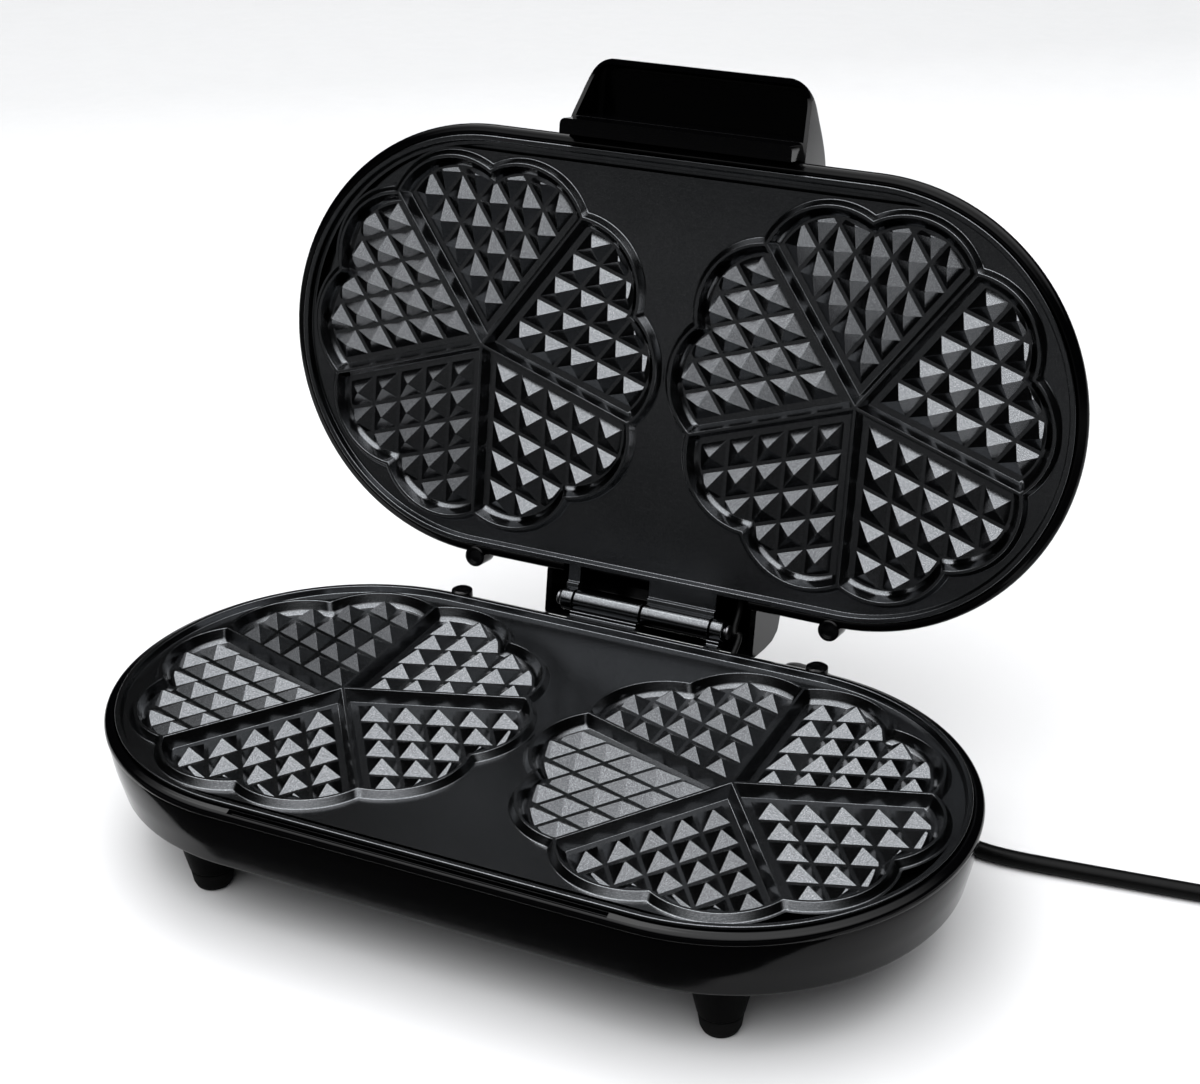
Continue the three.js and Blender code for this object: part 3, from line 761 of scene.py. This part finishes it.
def add_lead(material, plug_pieces):
    route = lead_route()
    data = bpy.data.curves.new("mains_lead", "CURVE")
    data.dimensions = "3D"
    data.bevel_depth = LEAD_D / 2 * MM
    data.bevel_resolution = 6
    data.resolution_u = 6
    data.use_fill_caps = True
    spline = data.splines.new("NURBS")
    spline.points.add(len(route) - 1)
    for point, place in zip(spline.points, route):
        point.co = (*place, 1)
    spline.order_u = 4
    spline.use_endpoint_u = True
    data.materials.append(material)
    lead = bpy.data.objects.new("mains_lead", data)
    bpy.context.scene.collection.objects.link(lead)
    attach(lead, "base")
    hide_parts("lead_run", "lead_coil", "lead_tail")


def add_plug(rubber, steel):
    """A round two-pin plug with a ribbed neck, lying on its side."""
    axis = PLUG_AXIS - STAND_H
    outline = [
        (0, -58), (16.5, -58), (17.6, -56.8), (18.8, -50), (19, -42), (17.2, -36.6), (12, -31.4),
        (8.6, -28.6), (7.2, -26.4),
    ]
    ribs = []
    for i in range(5):
        y = -25.6 + 3.2 * i
        radius = 7 - 0.42 * i
        ribs.extend([(radius, y), (radius, y + 1.9), (radius - 0.9, y + 2.1), (radius - 0.9, y + 3)])
    body = along_y(turned([*outline, *ribs, (4.8, -8.6), (0, -8.6)], 0.9, 64, 3), PLUG_X, axis)
    pieces = [piece("plug", body, rubber, "base", ["plug_body"])]
    bare = [
        (0, -77.3), (1.7, -77.3), (2.4, -75.6), (2.4, -68.4), (2.1, -68.2), (2.1, -58.3), (0, -58.3),
    ]
    sleeve = [(2.15, -67.9), (2.4, -67.9), (2.4, -58.4), (2.15, -58.4)]
    for name, x in (("left", PLUG_X - PLUG_PIN_X), ("right", PLUG_X + PLUG_PIN_X)):
        pin = along_y(turned(bare, 0.5, 32, 3), x, axis)
        pieces.append(piece(f"plug_pin_{name}_turned", pin, steel, "base", [f"plug_pin_{name}"]))
        collar = along_y(ring_solid(sleeve, 48), x, axis)
        pieces.append(piece(f"plug_sleeve_{name}", collar, rubber, "base"))
    return pieces


def add_strain_relief(rubber):
    """Tapered boot with flexible rings; the lead starts inside its mouth."""
    profile = [(0, 90.2), (RELIEF_R, 90.2), (RELIEF_R, 96.6), (6.8, 96.6), (6.8, 98.4), (6.1, 99.2)]
    for i in range(5):
        y = 100.6 + 3.4 * i
        radius = 5.9 - 0.24 * i
        profile.extend([(radius, y), (radius, y + 1.9), (radius - 0.7, y + 2.2), (radius - 0.7, y + 3.1)])
    profile.extend([(4.3, 118), (0, 118)])
    boot = along_y(turned(profile, 0.6, 64, 3), LEAD_X, LEAD_Z)
    piece("strain_relief_boot", boot, rubber, "base", ["strain_relief"])


# ------------------------------------------------------------------- cooking plates


def strip(shape, outlines):
    """Joined bands through (z, outline) pairs; returns the last ring."""
    rings = [shape.level(outline, z) for z, outline in outlines]
    shape.bands(rings)
    return rings[-1]


def coved(inset):
    """How far in the side under a lobe lies at the height where a divider's side has this inset."""
    down = min(1, max(0, (inset - BEAD_HALF) / (DIVIDER_FOOT - BEAD_HALF)))
    flare = max(0, (down - FLARE_FROM) / (1 - FLARE_FROM))
    return inset + (LOBE_FOOT - DIVIDER_FOOT) * ((1 - FLARE_SHARE) * down + FLARE_SHARE * flare * flare)


def heart_walls():
    """One heart below the divider tops: steep straight sides, coved lobes and the floor."""
    side = []
    for i in range(SIDE_STEPS + 1):
        down = i / SIDE_STEPS
        inset = BEAD_HALF + (DIVIDER_FOOT - BEAD_HALF) * down
        side.append((inset, MOULD_TOP + (FLOOR_Z - MOULD_TOP) * down))
    line = rounded([(CREST_HALF, MOULD_TOP), *side, (DIVIDER_FOOT + 1.2, FLOOR_Z)], 0.5, 5, closed=False)
    shape = Shape()
    shape.mesh.faces.new(strip(shape, [(z, heart_outline(inset, coved(inset))) for inset, z in line]))
    return shape


def pyramid_cut(row, column):
    """A pyramid standing in a heart, its base sunk below the floor."""
    sunk = FLOOR_Z - 0.4
    half = PYRAMID_HALF * (PYRAMID_TOP - sunk) / (PYRAMID_TOP - FLOOR_Z)
    a = PYRAMID_FIRST + row * PYRAMID_PITCH
    b = PYRAMID_FIRST + column * PYRAMID_PITCH
    turn = 2 * LOBE_TURN

    def place(u, v, z):
        return ((u + v) * math.cos(turn), (v - u) * math.sin(turn), z)

    shape = Shape()
    flat = 0.035
    foot = [(-1, -1), (1, -1), (1, 1), (-1, 1)]
    low = shape.ring([place(a + half * i, b + half * j, sunk) for i, j in foot])
    top = shape.ring([place(a + half * flat * i, b + half * flat * j, PYRAMID_TOP) for i, j in foot])
    shape.skin([low, top])
    return shape


def heart_pyramids():
    """All the pyramids of one heart, those on its edge cut off by its outline."""
    shape = Shape()
    for row, count in enumerate(PYRAMIDS_PER_ROW):
        for column in range(count):
            shape.absorb(pyramid_cut(row, column))
    tidy(shape)
    edge = heart_outline(PYRAMID_EDGE)
    inside = loft([(FLOOR_Z - 0.3, edge), (0, edge)])
    cut = combine(shape, inside, "INTERSECT")
    tidy(cut)
    slim = [e for e in cut.mesh.edges if e.is_manifold and e.calc_face_angle(0) > 0.5]
    bmesh.ops.bevel(
        cut.mesh, geom=slim, offset=0.28, offset_type="OFFSET", segments=2, profile=0.5,
        affect="EDGES", clamp_overlap=True,
    )
    return cut


def land_with_holes(shape, outer, holes, z):
    """A flat face at height z inside the outer outline and round the holes."""
    edges = []
    for outline in (outer, *holes):
        ring = shape.level(outline, z)
        for i, vertex in enumerate(ring):
            edges.append(shape.mesh.edges.new((vertex, ring[(i + 1) % len(ring)])))
    bmesh.ops.triangle_fill(shape.mesh, use_beauty=True, use_dissolve=False, edges=edges)


HEART_TURNS = [math.radians(360 / HEARTS * i - 90) for i in range(HEARTS)]


def heart_place(turn, x):
    return Matrix.Translation((x, 0, 0)) @ Matrix.Rotation(turn, 4, "Z")


def moved_outline(outline, turn, x):
    """The outline turned round the waffle centre, which is moved to x."""
    c = math.cos(turn)
    s = math.sin(turn)
    return [(x + px * c - py * s, px * s + py * c) for px, py in outline]


def plate_face():
    """The closed casting without its pyramids: lip, land, beads, dividers and hearts."""
    shape = Shape()
    heart = heart_walls()
    bead = rounded([
        (CREST_HALF, MOULD_TOP), (BEAD_HALF, MOULD_TOP), (BEAD_FOOT, LAND_Z), (BEAD_FOOT + 1.2, LAND_Z),
    ], 0.7, 5, closed=False)
    lip = rounded([
        (LIP_FOOT_R, LAND_Z), (PLATE_R - 2.9, LAND_Z), (PLATE_R - 2.15, MOULD_TOP), (PLATE_R, MOULD_TOP),
        (PLATE_R, PLATE_BOTTOM), (PLATE_BACK_R, PLATE_BOTTOM), (PLATE_BACK_R, PLATE_BACK),
    ], 0.45, 5, closed=False)
    holes = []
    for side in (-1, 1):
        x = side * WAFFLE_X
        outlines = [(z, moved_outline(waffle_outline(offset), 0, x)) for offset, z in bead]
        strip(shape, outlines)
        holes.append(outlines[-1][1])
        for turn in HEART_TURNS:
            shape.absorb(heart, heart_place(turn, x))
        inner = [moved_outline(heart_outline(CREST_HALF), turn, x) for turn in HEART_TURNS]
        land_with_holes(shape, outlines[0][1], inner, MOULD_TOP)
    shape.mesh.faces.new(strip(shape, [(z, race_track(radius)) for radius, z in lip]))
    land_with_holes(shape, race_track(LIP_FOOT_R), holes, LAND_Z)
    return shape


def knuckle(x0, x1):
    """A barrel on the axis with the cast arm that carries it; the arm ends inside the barrel."""
    root = PLATE_R - 1.2
    top = WEB_TOP - 0.8
    arm = rounded([
        (root, WEB_BOTTOM), (HINGE_Y - 0.6, WEB_BOTTOM), (HINGE_Y + 2.2, -4.4), (HINGE_Y + 1, -2.4),
        (HINGE_Y - 3.2, -1.7), (HINGE_Y - 7, -1.9), (HINGE_Y - 7.3, top), (root, top),
    ], 0.5)
    bore = PIN_R + 0.25
    sleeve = [
        (bore, x0), (BARREL_R - 0.5, x0), (BARREL_R, x0 + 0.5),
        (BARREL_R, x1 - 0.5), (BARREL_R - 0.5, x1), (bore, x1),
    ]
    web = slab_along_x(x0 + 0.1, x1 - 0.1, arm)
    room = on_hinge(rod(x0 - 1, x1 + 1, BARREL_R - 0.6, 48))
    return on_hinge(ring_solid(sleeve, 64)).absorb(combine(web, room, "DIFFERENCE"))


def plate_shape():
    """One casting; the lid has the same one turned over."""
    room = at_posts(rod(-30, 20, POST_R + 1.5, 48, 0.4))
    casting = combine(tidy(plate_face()), room, "DIFFERENCE")
    pyramids = heart_pyramids()
    for x in (-WAFFLE_X, WAFFLE_X):
        for turn in HEART_TURNS:
            casting.absorb(pyramids, heart_place(turn, x))
    casting.absorb(knuckle(-LONG_KNUCKLE[1], -LONG_KNUCKLE[0]))
    return casting.absorb(knuckle(*SHORT_KNUCKLE))


def add_plates(coating):
    lower = plate_shape()
    upper = lower.moved(Matrix.Rotation(math.pi, 4, "Y"))
    for side, body, shape in (("lower", "base", lower), ("upper", "lid", upper)):
        name = f"cooking_plate_{side}"
        piece(name, shape, coating, body, [f"{side}_plate"], sharp=60, flat_faces=True)


# -------------------------------------------------------------------- base housing


def rim_line():
    """Outside of the glossy shoulder, from the shadow groove up to the plate, as (radius, z)."""
    return smooth_line([
        (RIM_R - 0.9, -5.5), (RIM_R - 0.15, -5.2), (RIM_R, -4.2), (RIM_R - 0.15, -3.2),
        (RIM_R - 0.8, -2.3), (RIM_R - 2.2, -1.8), (RECESS_R + 0.75, -1.45), (RECESS_R, -1.75),
    ], 3)


def base_wall():
    foot = rounded([(89.5, -30.6), (91.9, -30.6), (92.6, -29.9)], 0.8, closed=False)
    outside = smooth_line([
        (92.6, -29.9), (93.9, -24), (95.2, -18), (96.1, -12), (96.4, -8), (96.3, -5.9),
    ], 5)
    inside = [
        (RECESS_R, SEAT_Z), (SEAT_R, SEAT_Z), (SEAT_R, SEAT_Z - SEAT_DEPTH),
        (92.4, SEAT_Z - 2.6), (89.5, -29),
    ]
    return swept([*foot[:-1], *outside, *rim_line(), *inside], race_track)


def post_shape():
    """A domed locating post beside the hinge."""
    return turned([
        (0, POST_END), (POST_R, POST_END), (POST_R, -1.3), (POST_R - 1.3, -0.7), (0, -0.7),
    ], 0.5, 56)


def base_housing_shape():
    groove = slab_along_x(-GROOVE_HALF, GROOVE_HALF, rounded(rectangle(GROOVE_Y, GROOVE_Z), 0.3))
    notch = block(NOTCH_X, NOTCH_Y, (NOTCH_Z, 1))
    outlet = along_y(rod(85, 105, RELIEF_R + 0.4, 48), LEAD_X, LEAD_Z)
    wall = tidy(base_wall())
    for cut in (groove, notch, outlet):
        wall = combine(wall, cut, "DIFFERENCE")
    wall.absorb(at_posts(post_shape()))
    shelf = rounded([(94.6, -15.5), (110.9, -15.5), (111.6, -11.6), (94.6, -11.6)], 0.9)
    return wall.absorb(slab_along_x(1 - BAND_HALF, BAND_HALF - 1, shelf))


def cover_shape():
    """The pressed-in base cover with two rows of vents, foot bosses and screw wells."""
    outline = [
        (COVER_Z, 70), (COVER_Z + 0.15, 74.6), (COVER_Z + 0.9, 77.4), (-33.4, 83.4), (-31.4, 88),
        (-30.4, 89.1), (-29.4, 89.4), (-27.6, 89.5),
    ]
    body = track_solid(outline)
    hollow = track_solid([(COVER_Z + 2.2, 74), (-31.2, 85.4), (-27, 86.6)])
    for x in (-FOOT_X, FOOT_X):
        for y in FOOT_Y:
            body = combine(body, at(rod(COVER_Z, -31.5, FOOT_BOSS_R, 56, 0.6), x, y), "UNION")
    body = combine(body, hollow, "DIFFERENCE")
    slot_outline = arc(0, 9.5, 2.5, 0, math.pi, 8) + arc(0, -9.5, 2.5, math.pi, 2 * math.pi, 8)
    vent = loft([(COVER_Z - 1, slot_outline), (COVER_Z + 4, slot_outline)])
    vents = Shape()
    for i in range(-4, 5):
        for y in (-VENT_Y, VENT_Y):
            vents.absorb(at(vent, VENT_PITCH * i, y))
    body = combine(body, vents, "DIFFERENCE")
    for x, y in SCREW_PLACES:
        well = rod(COVER_Z - 1, SCREW_SEAT, 4.6, 40)
        body = combine(body, at(well, x, y), "DIFFERENCE")
    return body


def screw_shape():
    """Pan-head cross-recessed screw, head down."""
    head = turned([(0, -2.1), (2.6, -2.1), (3.7, -0.9), (3.7, 0), (0, 0)], 0.5, 40)
    for turn in (0, math.pi / 2):
        bar = block((-0.5, 0.5), (-2, 2), (-3, -0.9)).moved(Matrix.Rotation(turn, 4, "Z"))
        head = combine(head, bar, "DIFFERENCE")
    return head


def add_base(gloss, satin, rubber, steel):
    wall = base_housing_shape()
    piece("base_housing", wall, gloss, "base", ["base_shell"], bevel=0.35, sharp=38)
    piece("base_underside", cover_shape(), satin, "base", ["base_cover"], bevel=0.35, sharp=38)
    screw = screw_shape()
    for number, (x, y) in enumerate(SCREW_PLACES, 1):
        seated = screw.moved(Matrix.Translation((x, y, SCREW_SEAT)))
        piece(f"cover_screw_{number}", seated, steel, "base", bevel=0.08, sharp=35)
    top = COVER_Z - 0.25
    leg = turned([
        (0, -52.95), (8.6, -52.95), (9.2, -52.4), (10.6, -46), (12.2, -38), (12.5, top), (0, top),
    ], 0.7, 56)
    pad = turned([
        (0, -STAND_H), (5.4, -STAND_H), (7.1, -60.9), (8, -58.8), (8.5, -55.4), (8.8, -53.3), (0, -53.3),
    ], 0.8, 56)
    for y_name, y in zip(("front", "rear"), FOOT_Y):
        for x_name, x in (("left", -FOOT_X), ("right", FOOT_X)):
            where = f"{y_name}_{x_name}"
            piece(f"leg_{where}", at(leg, x, y), satin, "base", [f"foot_{where}"])
            piece(f"pad_{where}", at(pad, x, y), rubber, "base", [f"foot_pad_{where}"])


# ------------------------------------------------------------------------- the lid


def lid_outside(grow=0.0):
    """The lid's outside in the closed position; grown by a gap it also trims the handle."""
    rim = [(-z, radius + grow) for radius, z in reversed(rim_line())]
    dome = smooth_line([
        (5.9, 96.6), (8, 95.9), (12, 94), (17, 91), (22, 87), (27, 81.8), (31, 75.4), (34, 67.5),
        (35.8, 58), (36.4, 46),
    ], 4)
    cap = [(z + grow, radius + grow) for z, radius in dome]
    body = tidy(track_solid([*rim, *cap]))
    half = BAND_HALF + grow
    outline = rounded([
        (BAND_FRONT - grow, 12), (COWL_Y - 24, 12), (COWL_Y - 24, COWL_BOTTOM), (COWL_Y, COWL_BOTTOM),
        (COWL_Y - 0.4, 20), (COWL_Y - 1.6, 29.5), (COWL_Y - 5, 35.6), (COWL_Y - 12, 37.4),
        (60, 38 + grow), (-60, 38 + grow), (BAND_FRONT - grow, 36 + grow),
    ], 3.2, 5)
    return combine(body, slab_along_x(-half, half, outline), "UNION")


def cowl_room():
    """The hollow behind the hinge, inside the cowl and outside the domed wall."""
    inner = COWL_Y - WALL
    outline = [
        (92, 0), (inner, 0), (inner - 0.3, 19), (inner - 1.5, 28), (inner - 4, 32.4), (inner - 9, 33.8),
        (92, 34.4),
    ]
    room = slab_along_x(WALL - BAND_HALF, BAND_HALF - WALL, rounded(outline, 1.5))
    wall = track_solid([
        (-1, RIM_R), (5.2, 97.1), (8, 95.9), (12, 94), (17, 91), (22, 87), (27, 81.8), (35.2, 68),
    ])
    return combine(room, wall, "DIFFERENCE")


def lid_housing_shape():
    recess = track_solid([(-1, RECESS_R), (-SEAT_Z, RECESS_R)])
    seat = track_solid([(-SEAT_Z - 0.01, SEAT_R), (-SEAT_Z + SEAT_DEPTH, SEAT_R)])
    hollow = track_solid([(11, 92.2), (14, 90), (20, 86.2), (27, 79.8), (31.4, 73), (33.4, 63)])
    band_room = block((WALL - BAND_HALF, BAND_HALF - WALL), (-76, 76), (30, 35.4))
    notch = block(NOTCH_X, NOTCH_Y, (-1, -NOTCH_Z))
    wells = [at(rod(36.6, 40, LAMP_R + GAP, 40), x, LAMP_Y) for x in LAMP_X]
    body = lid_outside()
    for cut in (recess, seat, hollow, band_room, cowl_room(), notch, *wells):
        body = combine(body, cut, "DIFFERENCE")
    cup = turned([
        (0, POST_END), (POST_R, POST_END), (POST_R, -0.9), (POST_R - 0.7, -0.5), (POST_R - 1.5, -0.5),
        (POST_R - 1.9, -1.6), (0, -1.6),
    ], 0.3, 56)
    return body.absorb(at_posts(cup), Matrix.Rotation(math.pi, 4, "Y"))


# ------------------------------------------------------------------------- handle

HANDLE_WALL = 1.8
BAR_HALF = 52.7
BAR_FRONT = -105
BAR_BACK = -98.3
BAR_Z = (-6, 12)
BAR_CORNER = 2.6
HANDLE_STATIONS = [
    # y, half width, top, bottom, rounding of the two upper edges
    (-86.4, 55.5, 36, 3, 5), (-92, 55.2, 34.8, 4, 5), (-98, 54.8, 33.4, 5, 5), (-105, 54, 31, 8, 5),
    (-113, 52.6, 28.2, 12.6, 5), (-121, 51, 25, 17, 4.6), (-125.6, 48.4, 22.8, 17.6, 3.6),
    (-128.4, 45, 20.8, 17.8, 2.2), (-129.6, 41.5, 19.4, 17.9, 1.2),
]


def handle_section(half, top, bottom, edge):
    radius = min(edge, (top - bottom) * 0.8)
    right = arc(half - radius, top - radius, radius, 0, math.pi / 2, 8)
    left = arc(radius - half, top - radius, radius, math.pi / 2, math.pi, 8)
    return [(-half, bottom), (half, bottom), *right, *left]


def handle_loft(stations):
    """Sections in X and Z through the stations, from the lid out to the tip."""
    shape = Shape()
    rings = []
    for y, *section in blended(stations):
        rings.append(shape.ring([(x, y, z) for x, z in handle_section(*section)]))
    shape.skin(rings)
    return shape


def blended(stations):
    """The stations with smooth ones in between."""
    columns = list(zip(*stations))
    lines = [smooth_line(list(zip(columns[0], column)), 5) for column in columns[1:]]
    return [(a[0], a[1], b[1], c[1], d[1]) for a, b, c, d in zip(*lines)]


def handle_shape():
    """The scoop with the bar at its foot, trimmed to the lid."""
    inner = []
    for y, half, top, bottom, edge in HANDLE_STATIONS[3:8]:
        inner.append([y, half - HANDLE_WALL, top - HANDLE_WALL, bottom - 14, max(edge - 1.4, 0.8)])
    inner[0][0] -= 0.02
    inner[-1][0] += 1.2
    corner = arc(BAR_HALF - BAR_CORNER, BAR_FRONT + BAR_CORNER, BAR_CORNER, -math.pi / 2, 0, 8)
    left = [(-x, y) for x, y in reversed(corner)]
    face = [*left, *corner, (BAR_HALF, BAR_BACK), (-BAR_HALF, BAR_BACK)]
    body = combine(handle_loft(HANDLE_STATIONS), loft([(z, face) for z in BAR_Z]), "UNION")
    body = combine(body, handle_loft(inner), "DIFFERENCE")
    return combine(body, lid_outside(GAP), "DIFFERENCE")


def add_lid(gloss, red, green, rubber):
    piece("lid_housing", lid_housing_shape(), gloss, "lid", ["lid_shell"], bevel=0.4, sharp=38)
    piece("lid_handle", handle_shape(), gloss, "lid", ["handle"], bevel=0.8, sharp=38, steps=4)
    lens = turned([(0, 36.9), (LAMP_R, 36.9), (LAMP_R, 38.2), (2.7, 39.4), (0, 39.9)], 0.6, 40)
    lamps = (("lamp_power", red, "red_lens"), ("lamp_ready", green, "green_lens"))
    for x, (name, look, slot) in zip(LAMP_X, lamps):
        piece(f"{name}_lens", at(lens, x, LAMP_Y), look, "lid", [name])


# --------------------------------------------------------------------- hinge parts


def bar_along(points, radius, sides):
    """A closed round bar along a smooth line through the points."""
    line = [*catmull_rom(points, 8), Vector(points[-1])]
    shape = Shape()
    rings = []
    side = Vector((0, 0, 1))
    for i, p in enumerate(line):
        ahead = (line[min(i + 1, len(line) - 1)] - line[max(i - 1, 0)]).normalized()
        side = (side - ahead * side.dot(ahead)).normalized()
        across = ahead.cross(side)
        rings.append(shape.ring([p + side * a + across * b for a, b in circle(radius, sides)]))
    shape.skin(rings)
    return shape


def link_wire(leg_x, end_x, sign):
    """Half of the wire across the hinge, from under a plate's rim to the hinge axis."""
    bend = (leg_x + end_x) / 2
    return bar_along([
        (leg_x, 93.2, -6.3 * sign), (leg_x, 99, -5.6 * sign), (leg_x, HINGE_Y - 3, -1.8 * sign),
        ((leg_x + bend) / 2, HINGE_Y - 0.7, -0.3 * sign), (bend, HINGE_Y, 0), (end_x, HINGE_Y, 0),
    ], 1.3, 20)


def add_hinge(steel, sheath):
    pin = on_hinge(rod(-PIN_HALF, PIN_HALF, PIN_R, 48, 0.35))
    piece("hinge_pin_turned", pin, steel, "base", ["hinge_pin"])
    for name, x in (("left", -PIN_HALF - GAP - CLIP), ("right", PIN_HALF + GAP)):
        clip = on_hinge(rod(x, x + CLIP, 3.2, 40, 0.35))
        piece(f"pin_clip_{name}_cap", clip, steel, "base", [f"pin_clip_{name}"])
    piece("link_wire_base", link_wire(46.8, 45.1, 1), sheath, "base", ["base_link_wire"])
    piece("link_wire_lid", link_wire(43.2, 44.8, -1), sheath, "lid", ["lid_link_wire"])


def paint_cad_nodes(looks):
    """The inner parts keep their CAD solids and get these materials."""
    for names, material in looks:
        for name in names:
            data = frame["nodes"][name].data
            data.materials.clear()
            data.materials.append(material)


# ------------------------------------------------------------------ floor and light


def add_floor(name, y_span, material, mirrored):
    """A flat sheet; the front one isn't mirrored in the object, as if it lay in shade."""
    shape = Shape()
    shape.mesh.faces.new(shape.level(rectangle((-FLOOR_REACH, FLOOR_REACH), y_span), 0))
    data = bpy.data.meshes.new(name)
    shape.mesh.to_mesh(data)
    data.transform(Matrix.Scale(MM, 4))
    data.materials.append(material)
    floor = bpy.data.objects.new(name, data)
    floor.visible_glossy = mirrored
    bpy.context.scene.collection.objects.link(floor)


def add_key_light():
    """A soft square light above and behind the left end."""
    data = bpy.data.lights.new("key", "AREA")
    data.shape = "SQUARE"
    data.size = KEY_SIZE
    data.energy = KEY_POWER
    light = bpy.data.objects.new("key", data)
    light.location = KEY_PLACE
    light.rotation_mode = "QUATERNION"
    light.rotation_quaternion = (Vector(KEY_AIM) - Vector(KEY_PLACE)).to_track_quat("-Z", "Y")
    bpy.context.scene.collection.objects.link(light)


def add_world():
    """A bright dome overhead that leans to the front, and a dim ground; the backdrop is near white."""
    world = bpy.data.worlds.new("studio")
    bpy.context.scene.world = world
    world.use_nodes = True
    tree = world.node_tree
    background = tree.nodes["Background"]
    coords = tree.nodes.new("ShaderNodeTexCoord")
    split = tree.nodes.new("ShaderNodeSeparateXYZ")
    tree.links.new(coords.outputs["Generated"], split.inputs["Vector"])
    lean = along(tree, coords.outputs["Generated"], DOME_LEAN)
    dome = spread(tree, lean, DOME_EDGE, DOME_FULL, 0.0, DOME_LIGHT)
    ground = tree.nodes.new("ShaderNodeValToRGB")
    tree.links.new(spread(tree, split.outputs["Z"], -1, 1, 0, 1), ground.inputs["Fac"])
    stops = ground.color_ramp.elements
    while len(stops) < len(GROUND_LIGHT):
        stops.new(1)
    for stop, (place, strength) in zip(stops, GROUND_LIGHT):
        stop.position = place
        stop.color = (strength, strength, strength, 1)
    both = tree.nodes.new("ShaderNodeMath")
    tree.links.new(dome, both.inputs[0])
    tree.links.new(ground.outputs["Color"], both.inputs[1])
    path = tree.nodes.new("ShaderNodeLightPath")
    choose = tree.nodes.new("ShaderNodeMix")
    tree.links.new(path.outputs["Is Camera Ray"], choose.inputs["Factor"])
    tree.links.new(both.outputs["Value"], choose.inputs["A"])
    choose.inputs["B"].default_value = BACKDROP
    tree.links.new(choose.outputs["Result"], background.inputs["Strength"])
    background.inputs["Color"].default_value = DAYLIGHT


# ------------------------------------------------------------------------- assembly

clear_defaults()
add_camera()

gloss = gloss_material()
satin = satin_material()
coating = coating_material()
rubber = rubber_material()
sheath = lead_material()
steel = steel_material("drawn_steel", (0.5, 0.5, 0.51), 0.28, (1, 12, 12))
dark_steel = steel_material("blackened_steel", (0.12, 0.12, 0.125), 0.3, (1, 12, 12))
sheet = steel_material("reflector_sheet", (0.72, 0.72, 0.73), 0.34, (14, 1, 1))
heater = element_material()
ceramic = ceramic_material()
red = lens_material("red_lens", (0.32, 0.01, 0.008), (0.6, 0.03, 0.02))
green = lens_material("green_lens", (0.01, 0.2, 0.04), (0.03, 0.42, 0.1))

add_lead(sheath, add_plug(rubber, steel))
add_strain_relief(rubber)
add_base(gloss, satin, rubber, steel)
add_lid(gloss, red, green, rubber)
add_plates(coating)
add_hinge(dark_steel, sheath)
paint_cad_nodes([
    (("lower_heating_element", "upper_heating_element"), heater),
    (("lower_reflector", "upper_reflector"), sheet),
    (("thermostat", "terminal_block", "upper_cutout"), ceramic),
    (("thermal_fuse",), steel),
])
floor_look = floor_material()
add_floor("floor", (SHADE_LINE, FLOOR_REACH), floor_look, True)
add_floor("floor_front", (-FLOOR_REACH, SHADE_LINE), floor_look, False)
add_key_light()
add_world()
bpy.context.scene.view_settings.view_transform = "Standard"
